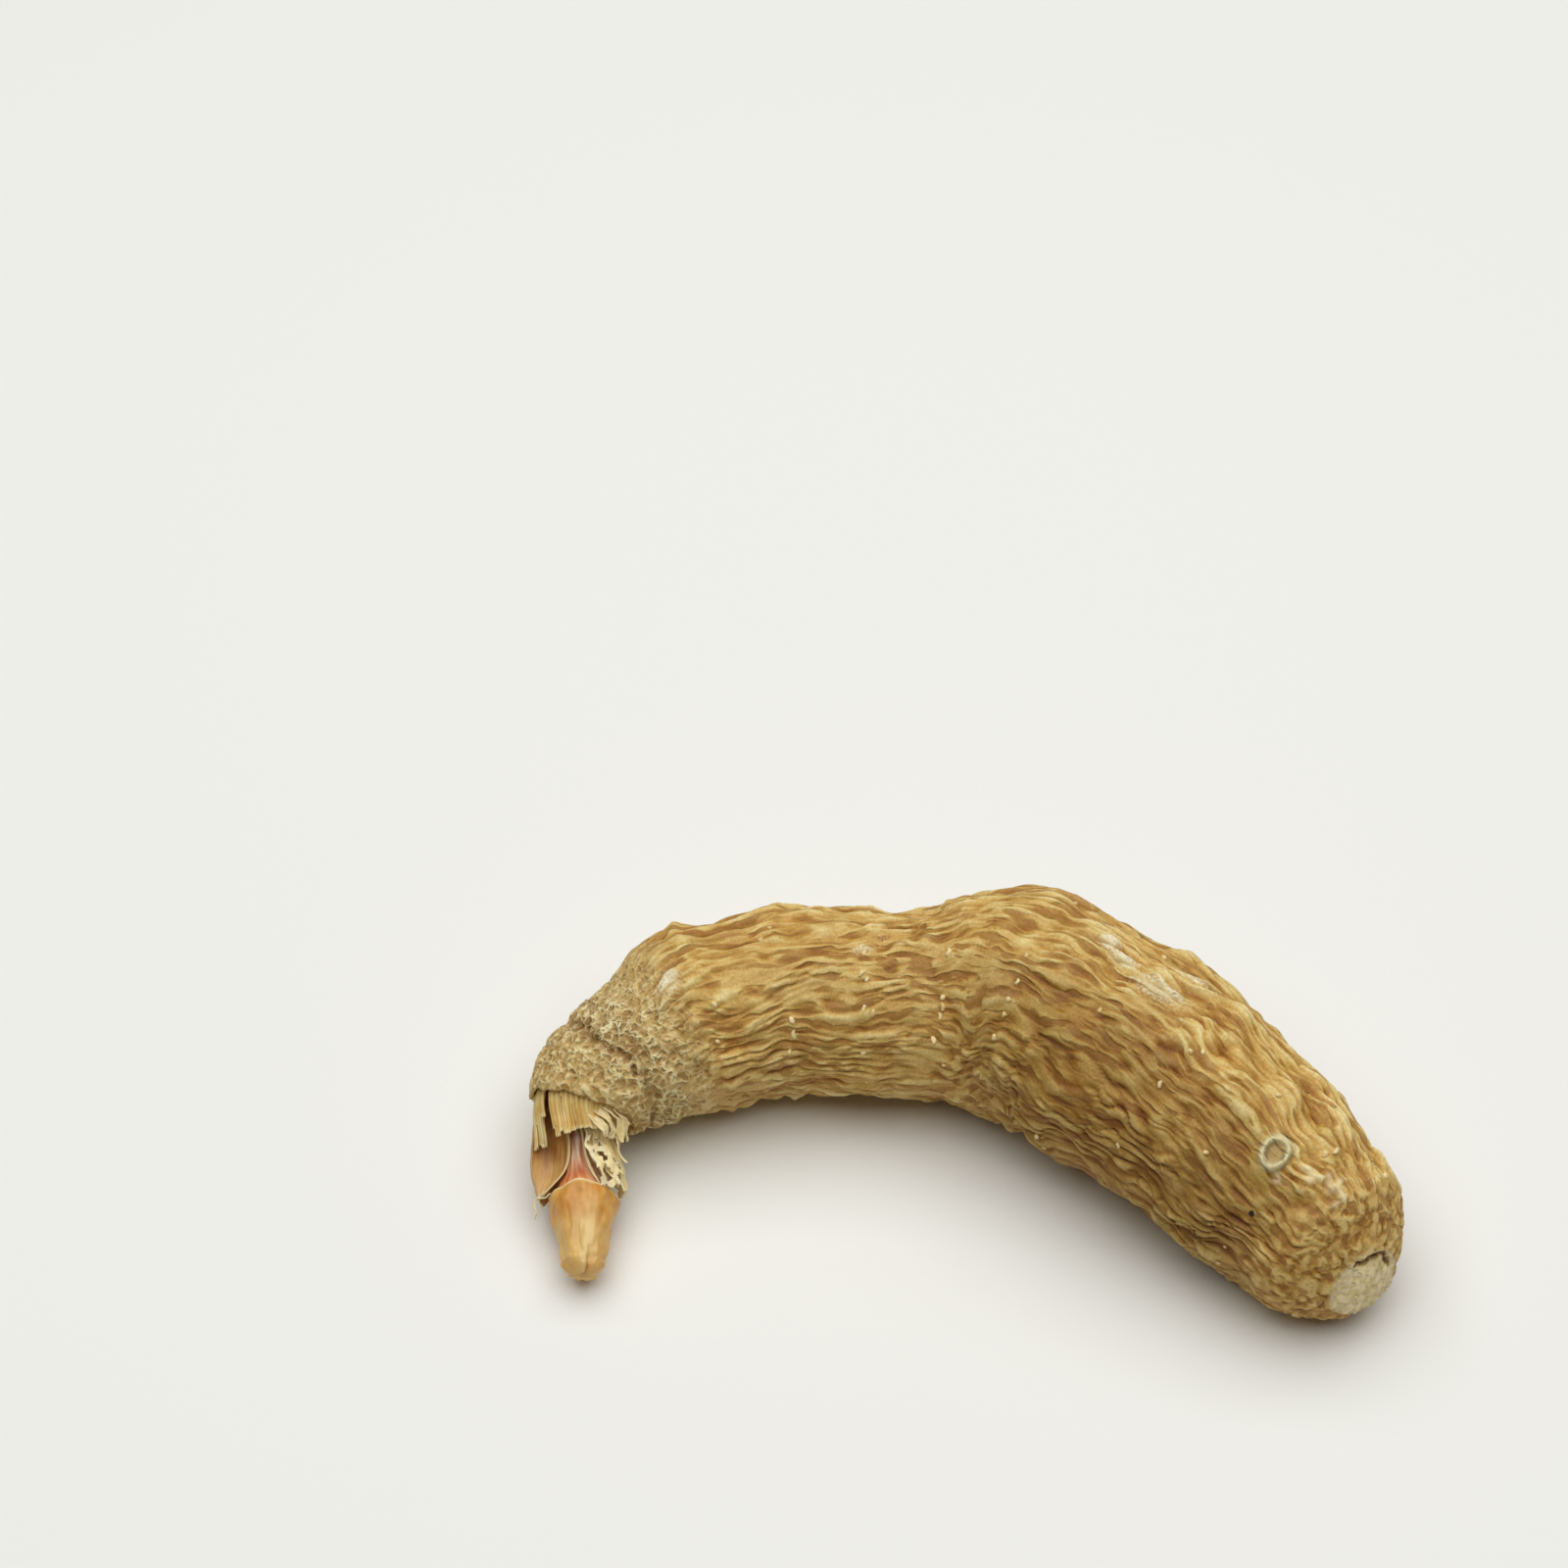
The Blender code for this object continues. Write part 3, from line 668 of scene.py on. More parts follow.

    # the neck is greyer, scuffs are white and flaky, the scars are pale straw
    # partly painted shade: the pits between the net's ridges are painted darker as well as lying lower
    neckTone = addNode(tree, "ValToRGB", {"Fac": net}, steps=[
        (0.0, "#9c7842"), (0.3, "#be9c63"), (0.65, "#dfc88d"), (1.0, "#f5e5b4")])
    # painted shade: the neck's hollows are darkened by how low they lie
    hollowShade = addNode(tree, "ValToRGB", {"Fac": ridge}, steps=[(0.1, "#93764c"), (0.55, "#ffffff")])
    neckLow = addNode(tree, "MixRGB", {"Fac": 0.6, "Color1": neckTone, "Color2": hollowShade},
                      blend_type="MULTIPLY")
    neckShare = addNode(tree, "Math", {0: netShare, 1: 0.85}, operation="MULTIPLY")
    greyed = addNode(tree, "MixRGB", {"Fac": neckShare, "Color1": grained, "Color2": neckLow})
    scuffTone = addNode(tree, "ValToRGB", {"Fac": ridge}, steps=[
        (0.15, "#ab8f58"), (0.45, "#dccb98"), (0.8, "#f6efcf")])
    patchy = addNode(tree, "Math", {0: grain, 1: 1.0, 2: scuff}, operation="MULTIPLY_ADD")
    flaky = addNode(tree, "MapRange", {"Value": patchy, "From Min": 0.85, "From Max": 1.3, "To Max": 0.95})
    scuffed = addNode(tree, "MixRGB", {"Fac": flaky, "Color1": greyed, "Color2": scuffTone})
    # partly painted light: the upper scar tones are near white, paler than the disc's own straw, to lift the
    # shade on the scarred end
    scarTone = addNode(tree, "ValToRGB", {"Fac": ridge}, steps=[
        (0.0, "#55391a"), (0.2, "#b89c64"), (0.4, "#f2dfa4"), (0.8, "#fff4d0")])
    scarShare = addNode(tree, "Math", {0: scar, 1: 0.85}, operation="MULTIPLY")
    scarred = addNode(tree, "MixRGB", {"Fac": scarShare, "Color1": scuffed, "Color2": scarTone})

    # the ring that a side shoot left: a raised rim round a bowl
    at, facing, size = marks["ringScar"]
    squash = marks["ringSquash"]
    ringAway = addNode(tree, "VectorMath", {0: place, 1: skinSpot(at, facing)}, operation="SUBTRACT")
    squashed = addNode(tree, "VectorMath", {0: ringAway, 1: (squash, squash, 1.0)}, operation="MULTIPLY")
    ringOff = addNode(tree, "VectorMath", {0: squashed}, out="Value", operation="LENGTH")
    uneven = addNode(tree, "Math", {0: blotch, 1: 0.9, 2: ringOff}, operation="MULTIPLY_ADD")
    inside = addNode(tree, "MapRange", {"Value": uneven, "From Min": size - 0.25, "From Max": size + 0.5},
                     interpolation_type="SMOOTHSTEP")
    outside = addNode(tree, "MapRange", {"Value": uneven, "From Min": size + 1.3, "From Max": size + 0.5},
                      interpolation_type="SMOOTHSTEP")
    rim = addNode(tree, "Math", {0: inside, 1: outside}, operation="MULTIPLY")
    bowlShare = addNode(tree, "Math", {0: outside, 1: 0.7}, operation="MULTIPLY")
    bowled = addNode(tree, "MixRGB", {"Fac": bowlShare, "Color1": scarred, "Color2": linear("#bda36c")})
    rimShare = addNode(tree, "Math", {0: rim, 1: 0.85}, operation="MULTIPLY")
    rimmed = addNode(tree, "MixRGB", {"Fac": rimShare, "Color1": bowled, "Color2": linear("#ebdfac")})

    # the pinhole: a dark slit 0.6 mm wide, painted on and not cut, as painted shade for its inside
    away = addNode(tree, "VectorMath", {0: place, 1: skinSpot(*marks["pinhole"])}, out="Value",
                   operation="DISTANCE")
    hole = addNode(tree, "MapRange", {"Value": away, "From Min": 0.5, "From Max": 0.3})
    holed = addNode(tree, "MixRGB", {"Fac": hole, "Color1": rimmed, "Color2": linear("#1c1008")})
    tree.links.new(holed, shader.inputs["Base Color"])
    setInputs(shader, {"Roughness": 0.58, "Specular IOR Level": 0.32})
    rough = addNode(tree, "Bump", {"Height": grain, "Distance": 0.00012, "Strength": 0.5})
    creaseDepth = addNode(tree, "Math", {0: crease, 1: creaseShare}, operation="MULTIPLY")
    creased = addNode(tree, "Bump", {"Height": creaseDepth, "Distance": 0.00036, "Strength": 0.85,
                                     "Normal": rough})
    ringed = addNode(tree, "Bump", {"Height": rim, "Distance": 0.00045, "Normal": creased})
    netHeight = addNode(tree, "Math", {0: net, 1: netShare}, operation="MULTIPLY")
    bump = addNode(tree, "Bump", {"Height": netHeight, "Distance": 0.0005, "Strength": 0.9, "Normal": ringed})
    tree.links.new(bump, shader.inputs["Normal"])
    return material


tuber, laidSkin = makeTuber()
finishPiece(tuber, driedSkin(), "tuber")

# the flecks on the rings: what is left of the scale leaves and side buds

flecks = {"perRing": 6, "halfWidth": 0.34, "halfHeight": 0.3, "seed": 5}


def makeFlecks():
    s, run, turn, points, normal, _ = laidSkin
    rng = np.random.default_rng(flecks["seed"])
    places = list(marks["flecks"])
    for at in marks["rings"][1:]:
        for _ in range(flecks["perRing"]):
            places.append((at + rng.normal(0, 0.35), rng.uniform(0, 360), rng.uniform(0.3, 1.3) ** 1.3))
    clearSelection()
    bpy.ops.mesh.primitive_ico_sphere_add(subdivisions=2, radius=1)
    grainOfScale = bpy.context.object
    unit = np.array([v.co for v in grainOfScale.data.vertices])
    pieces = []
    for at, facing, length in places:
        i = np.abs(s[30:] - at).argmin() + 30
        j = np.abs(turn - math.radians(facing)).argmin()
        if points[i, j, 2] < 2.5:
            continue
        up = normal[i, j]
        roundWay = points[i, (j + 2) % len(turn)] - points[i, j - 2]
        roundWay /= np.linalg.norm(roundWay)
        alongWay = np.cross(up, roundWay)
        size = rng.uniform(0.75, 1.2)
        shape = unit * [length / 2, flecks["halfWidth"] * size, flecks["halfHeight"] * size]
        shape[:, 1] += 0.12 * np.sin(shape[:, 0] * 4 + at)
        shape *= 1 + 0.12 * rng.normal(size=(len(unit), 1))
        laid = points[i, j] + shape @ np.array([roundWay, alongWay, up])
        piece = grainOfScale.copy()
        piece.data = grainOfScale.data.copy()
        bpy.context.scene.collection.objects.link(piece)
        placePoints(piece, laid)
        pieces.append(piece)
    bpy.data.objects.remove(grainOfScale)
    made = joinInto("ringFlecks", pieces)
    smoothShade(made)
    print("flecks laid,", len(pieces))
    return made


def driedFleck():
    # Dried bits of scale leaf: papery, pale cream, browner in their dips.
    material, tree, shader = newMaterial("driedScaleFleck")
    spot = addNode(tree, "TexCoord", out="Object")
    bits = addNode(tree, "TexNoise", {"Vector": spot, "Scale": 900.0, "Detail": 1.0})
    tone = addNode(tree, "ValToRGB", {"Fac": bits}, steps=[(0.35, "#dab974"), (0.6, "#f4e1a8")])
    tree.links.new(tone, shader.inputs["Base Color"])
    shader.inputs["Roughness"].default_value = 0.6
    bump = addNode(tree, "Bump", {"Height": bits, "Distance": 0.00008})
    tree.links.new(bump, shader.inputs["Normal"])
    return material


finishPiece(makeFlecks(), driedFleck())


# the shoot and its scale leaves; out is in mm from the neck's rim towards the shoot's tip

bud = {
    "coreRadii": [(-1.3, 2.6), (2.0, 2.2), (6.0, 1.9), (9.0, 2.3), (11.5, 3.2), (13.0, 3.65), (14.0, 3.3)],
    "tipRadii": [(12.9, 4.2), (13.6, 4.32), (15.0, 4.15), (17.5, 3.4), (20.5, 3.0), (22.9, 2.5),
                 (23.8, 2.05), (24.3, 1.4)],
    "tipStart": 13.2, "tipEnd": 24.25, "hoodHeight": 1.0, "hoodFacing": 80,
    "leafWall": 0.2,
    "collarRoot": -1.2, "collarPleats": 50,
    "cupReach": 13.0, "tornReach": 13.2,
    # the cup leaf's free margin: out, angle and distance from the spine
    "cupMargin": [(0.0, 66, 3.6), (3.0, 66, 3.4), (5.5, 66, 2.9), (8.0, 62, 2.7), (10.2, 50, 3.4),
                  (12.0, 32, 4.5), (13.2, 16, 5.5)],
}


def softNoise(points, size, seed):
    # smooth noise at points in mm
    shift = Vector((seed * 7.3, seed * 3.1, seed * 5.7))
    flat = np.asarray(points, float).reshape(-1, 3)
    return np.array([noise.noise(Vector(p) / size + shift) for p in flat]).reshape(np.shape(points)[:-1])


def pointsAt(x, y, z):
    return np.stack(np.broadcast_arrays(x, y, z), -1)


def hoodRise(angle):
    # how far the tip's rim rises up the core at an angle: a point on the upper side
    off = np.abs((np.asarray(angle) - math.radians(bud["hoodFacing"]) + np.pi) % (2 * np.pi) - np.pi)
    return bud["hoodHeight"] * np.clip(1 - off / math.radians(75), 0, None) ** 1.3


def readTable(table, at):
    smooth = smoothThrough(table, 12)
    return np.interp(at, smooth[:, 0], smooth[:, 1])


def layTube(name, out, angle, radius, share, ends):
    # a closed tube from tables of its rings, from the neck outwards, and what reads a table at its points
    rings, columns = out.shape
    tube, ring, column = tubeOf(name, columns, rings)
    points = onSpine(-out, angle, radius, share)
    first, last = onSpine(-np.array(ends), np.zeros(2), np.zeros(2), 1.0)
    pole = (column < 0)[:, None]
    placePoints(tube, np.where(pole, np.where((ring == 0)[:, None], first, last), points[ring, column]))
    # the rings run against the cylinder's own direction here
    clearSelection()
    tube.select_set(True)
    bpy.ops.object.mode_set(mode="EDIT")
    bpy.ops.mesh.select_all(action="SELECT")
    bpy.ops.mesh.normals_make_consistent(inside=False)
    bpy.ops.object.mode_set(mode="OBJECT")

    def pick(values, atPole):
        return np.where(column < 0, atPole, values[ring, column])

    return tube, pick


def makeCore():
    rings, columns = 72, 108
    angle = np.repeat((np.arange(columns) / columns * 2 * np.pi)[None, :], rings, 0)
    share = np.linspace(0, 1, rings)[:, None]
    out = np.repeat(-1.3 + share * 14.9, columns, 1)
    radius = readTable(bud["coreRadii"], out)
    around = pointsAt(2.2 * np.cos(angle), 2.2 * np.sin(angle), out / 9)
    fibre = softNoise(around, 0.55, 1) + 0.6 * softNoise(around, 0.27, 2)
    lump = softNoise(pointsAt(2.2 * np.cos(angle), 2.2 * np.sin(angle), out / 2.5), 1.3, 3)
    radius = radius + 0.2 * fibre + 0.22 * lump
    turned = angle + 0.03 * out
    core, pick = layTube("shootCore", out, turned, radius, growth["heightShare"], (-1.3, 13.6))
    pointValues(core, "fibre", pick(np.clip(0.5 + fibre, 0, 1), 0.5))
    pointValues(core, "out", pick(out, 0))
    pointValues(core, "angle", pick(np.degrees(angle), 0))
    smoothShade(core)
    return core


def makeTip():
    rings, columns = 96, 132
    angle = np.repeat((np.arange(columns) / columns * 2 * np.pi)[None, :], rings, 0)
    # the first rings fold the rim over into a lip, the others run down the outside
    lip = 8
    share = np.clip((np.arange(rings) - lip) / (rings - 1 - lip), 0, 1)[:, None]
    out = bud["tipStart"] + (bud["tipEnd"] - bud["tipStart"]) * share - hoodRise(angle) * (1 - share) ** 4
    radius = readTable(bud["tipRadii"], out + hoodRise(angle) * (1 - share) ** 4)
    around = pointsAt(3 * np.cos(angle), 3 * np.sin(angle), out)
    shrunk = 0.45 * softNoise(around / [1, 1, 2.2], 1.6, 11) + 0.2 * softNoise(around / [1, 1, 2.6], 0.6, 12)
    wrinkle = 0.35 * softNoise(around, 0.9, 13) * smoothStep(0.65, 0.92, share)
    cleft = -0.8 * np.exp(-(((angle - math.radians(112) - 0.3 * (share - 0.8)) / 0.2) ** 2))
    cleft *= smoothStep(0.7, 0.93, share)
    fold = -0.22 * np.exp(-(((angle - math.radians(70) - 0.25 * share) / 0.14) ** 2))
    fold *= smoothStep(0.3, 0.75, share)
    blunt = np.sqrt(np.clip(1 - (np.clip(share - 0.93, 0, 1) / 0.075) ** 2, 0.02, 1))
    radius = (radius + shrunk + wrinkle + cleft + fold) * blunt
    turned = np.clip((lip - np.arange(rings)) / lip, 0, 1)[:, None]
    radius = radius - 0.42 * np.sin(turned * np.pi / 2) ** 2 - 0.5 * turned**3
    out = out + 0.30 * np.sin(turned * np.pi) * -0.5 + 0.45 * turned**2
    ends = (bud["tipStart"] + 1.2, bud["tipEnd"] - 0.35)
    tip, pick = layTube("shootTip", out, angle, radius, growth["heightShare"], ends)
    pointValues(tip, "rim", pick(np.repeat(1 - smoothStep(0.0, 0.035, share), columns, 1), 0))
    pointValues(tip, "out", pick(out, 24))
    # painted highlight: a paler band along the tip's upper side, where the light falls on it
    light = np.exp(-(((angle - math.radians(100)) / 0.42) ** 2)) * smoothStep(0.3, 0.5, share)
    pointValues(tip, "pale", pick(light, 0.3))
    stain = np.exp(-(((angle - math.radians(112)) / 0.22) ** 2)) * smoothStep(0.84, 0.97, share)
    pointValues(tip, "stain", pick(stain, 0.2))
    smoothShade(tip)
    return tip


def laySheet(sheet, row, column, points, edge):
    placePoints(sheet, points[row, column])
    pointValues(sheet, "edge", edge[row, column])
    leafPlace = pointsAt(column / 6, row / 6, 0)
    pointValues(sheet, "leafPlace", leafPlace, "FLOAT_VECTOR")


def makeCollar():
    count = bud["collarPleats"]
    rows, columns = 26, count * 6 + 1
    span = np.linspace(0, 1, columns)
    facing = 52 + 352 * span  # degrees; the torn hollow is where the sheet starts and ends
    angle = np.radians(np.repeat(facing[None, :], rows, 0))
    pleat = np.floor(span * count + 1e-9).clip(0, count - 1)
    rng = np.random.default_rng(21)
    perPleat = rng.normal(0, 1, count)
    group = np.pad(rng.normal(0, 1, count), 2, mode="wrap")
    group = np.convolve(group, [0.2, 0.6, 1, 0.6, 0.2], "valid")
    long = 4.5 + 0.22 * perPleat + 0.4 * group
    middle = facing[(np.arange(count) * 6 + 3)]
    long = long + 1.7 * ((middle > 368) & (middle < 396)) - 2.3 * (middle > 399)
    long = long - 1.3 * np.exp(-(((middle - 56) / 7) ** 2))
    long = np.where((middle > 62) & (middle < 112), 4.5 + 0.2 * perPleat + 0.12 * group, long)
    length = long[pleat.astype(int)] + 0.1 * np.cos(span * count * 2 * np.pi)
    down = np.linspace(0, 1, rows)[:, None]
    out = bud["collarRoot"] + (length[None, :] - bud["collarRoot"]) * down
    fold = np.abs((span * count * 2) % 2 - 1)[None, :] - 0.5
    tilt = rng.normal(0, 1, count)[pleat.astype(int)][None, :]
    radius = np.interp(out, [-1.2, 0.6, 2.5, 6.3], [5.75, 5.6, 5.2, 5.35])
    radius = radius + 0.5 * fold * smoothStep(-1.2, 0.4, out)
    radius = radius + 0.13 * tilt * np.clip(out / 4, 0, 1.5) ** 2
    wave = softNoise(pointsAt(5 * np.cos(angle), 5 * np.sin(angle), out / 2), 1.6, 22)
    points = onSpine(-out, angle, radius + 0.25 * wave, growth["heightShare"])
    edge = np.repeat(smoothStep(0.86, 1.0, down), columns, 1)
    sheet, row, column = sheetOf("scaleCollar", rows, columns)
    laySheet(sheet, row, column, points, edge)
    split = rng.uniform(0.3, 1.3, count)

    def goes(rowMid, columnMid):
        k = np.floor(columnMid / 6).astype(int).clip(0, count - 1)
        return (np.abs(columnMid - 6 * k - 0.5) < 0.4) & (rowMid / rows > split[k])

    tearAway(sheet, row, column, goes)
    thicken(sheet, 0.16)
    smoothShade(sheet)
    return sheet


def makeCup():
    rows, columns = 76, 72
    t = np.linspace(0, 1, rows)[:, None]
    v = np.linspace(0, 1, columns)[None, :]
    out = np.repeat(0.2 + (bud["cupReach"] - 0.2) * t, columns, 1)
    # the free margin beside the core, and the folded left edge: angle and distance from the spine
    margin = smoothThrough(bud["cupMargin"], 12)
    marginAngle = np.radians(np.interp(out[:, 0], margin[:, 0], margin[:, 1]))[:, None]
    marginFar = np.interp(out[:, 0], margin[:, 0], margin[:, 2])[:, None]
    foldAngle = np.radians(4 + 4 * np.sin(np.pi * t) + 8 * t**4)
    foldFar = np.interp(out[:, :1], [0.2, 3, 6, 9, 11.5, 13], [4.6, 5.5, 6.0, 6.2, 6.0, 5.6])
    # across the hollow in the plane of the section, then round the outside
    w = np.clip(v / 0.45, 0, 1)
    x = (1 - w) * marginFar * np.cos(marginAngle) + w * foldFar * np.cos(foldAngle)
    y = (1 - w) * marginFar * np.sin(marginAngle) + w * foldFar * np.sin(foldAngle)
    depth = np.interp(t, [0, 0.12, 0.35, 0.7, 1], [2.6, 2.6, 1.7, 1.3, 0.3])
    y = y - depth * np.sin(np.pi * w) ** 0.8 + 0.25 * np.exp(-((w / 0.08) ** 2))
    u = np.clip((v - 0.45) / 0.55, 0, 1)
    under = foldAngle + (np.radians(-78 + 60 * t**3) - foldAngle) * smoothStep(0, 1, u) * u
    angle = np.where(v < 0.45, np.arctan2(y, x), under)
    radius = np.where(v < 0.45, np.hypot(x, y), foldFar - 0.3 * u)
    around = pointsAt(out / 2.4, 5 * v, 0)
    radius = radius + 0.16 * softNoise(around, 0.9, 32) + 0.05 * np.sin(46 * v + 2 * t)
    points = onSpine(-out, angle, radius, 0.8)
    edge = np.maximum(0.8 - smoothStep(0.008, 0.03, v), smoothStep(0.95, 1.0, t))
    sheet, row, column = sheetOf("scaleCup", rows, columns)
    laySheet(sheet, row, column, points, edge)
    thicken(sheet, bud["leafWall"])
    smoothShade(sheet)
    return sheet


def makeTorn():
    rows, columns = 110, 96
    t = np.linspace(0, 1, rows)[:, None]
    v = np.linspace(0, 1, columns)[None, :]
    ragged = softNoise(pointsAt(9 * v, 0, 0), 0.8, 41)
    out = 0.2 + (bud["tornReach"] - 0.2 - 1.6 * np.clip(-ragged, 0, 1) - 1.4 * v**2) * t
    start = np.radians(104 + 16 * t**2 - 6 * np.sin(np.pi * t))
    stop = np.radians(262 - 40 * t**2)
    angle = start + (stop - start) * v
    around = pointsAt(5 * np.cos(angle), 5 * np.sin(angle), out / 1.8)
    big = softNoise(around, 1.5, 42)
    small = softNoise(around, 0.6, 43)
    crumple = 0.75 * big + 0.22 * small
    radius = 3.85 + 1.25 * smoothStep(4.0, 9.2, out) + crumple * smoothStep(1.0, 3.5, out)
    swing = 0.16 * softNoise(around, 1.3, 45) * smoothStep(1.0, 4.0, out)
    points = onSpine(-out, angle + swing, radius, 0.85)
    tears = softNoise(pointsAt(12 * v, 0.5 * out, 0), 1.0, 46)
    lengthwise = smoothStep(2.5, 5.0, out)
    hole = (tears * lengthwise) > 0.27
    edge = np.maximum(smoothStep(0.12, 0.27, tears) * lengthwise, smoothStep(0.95, 1.0, t))
    edge = np.maximum(edge, 1 - smoothStep(0.0, 0.04, v))
    sheet, row, column = sheetOf("scaleTorn", rows, columns)
    laySheet(sheet, row, column, points, edge)

    def goes(rowMid, columnMid):
        return hole[np.rint(rowMid).astype(int), np.rint(columnMid).astype(int)]

    tearAway(sheet, row, column, goes)
    thicken(sheet, bud["leafWall"])
    smoothShade(sheet)
    return sheet


# thin torn strips: out, angle and distance from the spine, and their width
strips = [
    ([(3.0, 110, 3.7), (6.0, 116, 2.9), (9.0, 122, 3.4), (11.5, 126, 4.5), (13.6, 132, 5.1)], 0.6),
    ([(3.2, 122, 4.8), (6.0, 124, 3.7), (8.5, 128, 3.9), (10.8, 136, 4.6), (12.8, 146, 5.5)], 0.9),
    ([(2.8, 96, 3.5), (5.5, 102, 2.6), (8.5, 108, 2.8), (11.2, 114, 3.7), (12.8, 118, 4.4)], 0.3),
    ([(2.6, 132, 5.0), (5.0, 132, 4.5), (7.5, 138, 4.3), (9.8, 142, 5.0), (11.5, 150, 5.8)], 1.0),
    ([(12.6, 24, 5.0), (13.2, 10, 5.9), (14.0, 6, 6.2), (15.0, 8, 5.9), (15.8, 2, 6.1)], 0.3),
    ([(12.9, 14, 5.8), (13.6, 20, 5.6), (14.0, 30, 5.2), (13.5, 36, 4.9)], 0.25),
    ([(2.2, 112, 5.3), (3.6, 116, 6.2), (4.9, 120, 6.4), (5.6, 124, 5.8), (5.2, 128, 5.4)], 1.1),
    ([(1.4, 122, 5.6), (3.0, 127, 6.4), (4.6, 131, 6.5), (5.9, 132, 5.7)], 1.2),
    ([(1.2, 134, 6.0), (2.8, 140, 6.7), (4.8, 143, 6.3), (6.4, 147, 6.2)], 1.2),
    ([(0.8, 146, 6.1), (2.4, 151, 6.7), (4.2, 154, 6.4), (6.0, 158, 6.4)], 1.1),
    ([(3.4, 138, 5.4), (5.6, 144, 5.9), (7.8, 148, 5.6), (9.6, 154, 6.2)], 0.9),
]


def makeStrips():
    pieces = []
    rows, columns = 40, 8
    for count, (path, width) in enumerate(strips):
        way = smoothThrough(path, 12)
        along = np.linspace(0, len(way) - 1, rows)
        out, facing, far = (np.interp(along, np.arange(len(way)), way[:, k]) for k in range(3))
        t = np.linspace(0, 1, rows)[:, None]
        v = np.linspace(-0.5, 0.5, columns)[None, :]
        taper = (1 - 0.6 * t**2) * (1 + 0.25 * np.sin(9 * t + count))
        angle = np.radians(facing)[:, None] + v * width * taper / far[:, None]
        twist = 0.55 * np.sin(6 * t + 2 * count)
        radius = far[:, None] + v * width * taper * twist + 0.9 * width * v**2
        bend = softNoise(pointsAt(out * 1.5, count, 0), 1.0, 51)
        radius = radius + 0.22 * bend[:, None]
        points = onSpine(-np.repeat(out[:, None], columns, 1), angle, radius, 0.88)
        sheet, row, column = sheetOf("strip", rows, columns)
        laySheet(sheet, row, column, points, np.repeat(0.15 + 0.5 * (abs(v) > 0.45), rows, 0))
        thicken(sheet, 0.14)
        pieces.append(sheet)
    made = joinInto("scaleStrips", pieces)
    smoothShade(made)
    return made


def driedShoot():
    # Dried shoot flesh: shrunk hard and half clear, so it shows red-brown with paler lengthwise fibres.
    material, tree, shader = newMaterial("driedShootFlesh")
    fibre, out, facing = [
        addNode(tree, "Attribute", out="Fac", attribute_name=name) for name in ("fibre", "out", "angle")]
    spot = addNode(tree, "TexCoord", out="Object")
    cloud = addNode(tree, "TexNoise", {"Vector": spot, "Scale": 420.0, "Detail": 2.0})
    flesh = addNode(tree, "ValToRGB", {"Fac": fibre}, steps=[
        (0.1, "#c07c54"), (0.4, "#dca87e"), (0.7, "#eac6a0"), (1.0, "#f8e4c6")])
    red = addNode(tree, "ValToRGB", {"Fac": fibre}, steps=[
        (0.2, "#be5c22"), (0.6, "#d6803c"), (1.0, "#e6aa6c")])
    redShare = addNode(tree, "MapRange", {"Value": out, "From Min": 7.0, "From Max": 11.0, "To Max": 0.8})
    reddened = addNode(tree, "MixRGB", {"Fac": redShare, "Color1": flesh, "Color2": red})
    duskyShare = addNode(tree, "MapRange", {"Value": cloud, "From Min": 0.45, "From Max": 0.7, "To Max": 0.5})
    dusky = addNode(tree, "MixRGB", {"Fac": duskyShare, "Color1": reddened, "Color2": linear("#c6937a")})
    paleShare = addNode(tree, "MapRange", {"Value": facing, "From Min": 80.0, "From Max": 112.0,
                                           "To Max": 0.65})
    pale = addNode(tree, "MixRGB", {"Fac": paleShare, "Color1": dusky, "Color2": linear("#d8b692")})
    tree.links.new(pale, shader.inputs["Base Color"])
    setInputs(shader, {"Roughness": 0.42, "Subsurface Weight": 0.2,
                       "Subsurface Radius": (1.0, 0.45, 0.2), "Subsurface Scale": 0.0012})
    return material


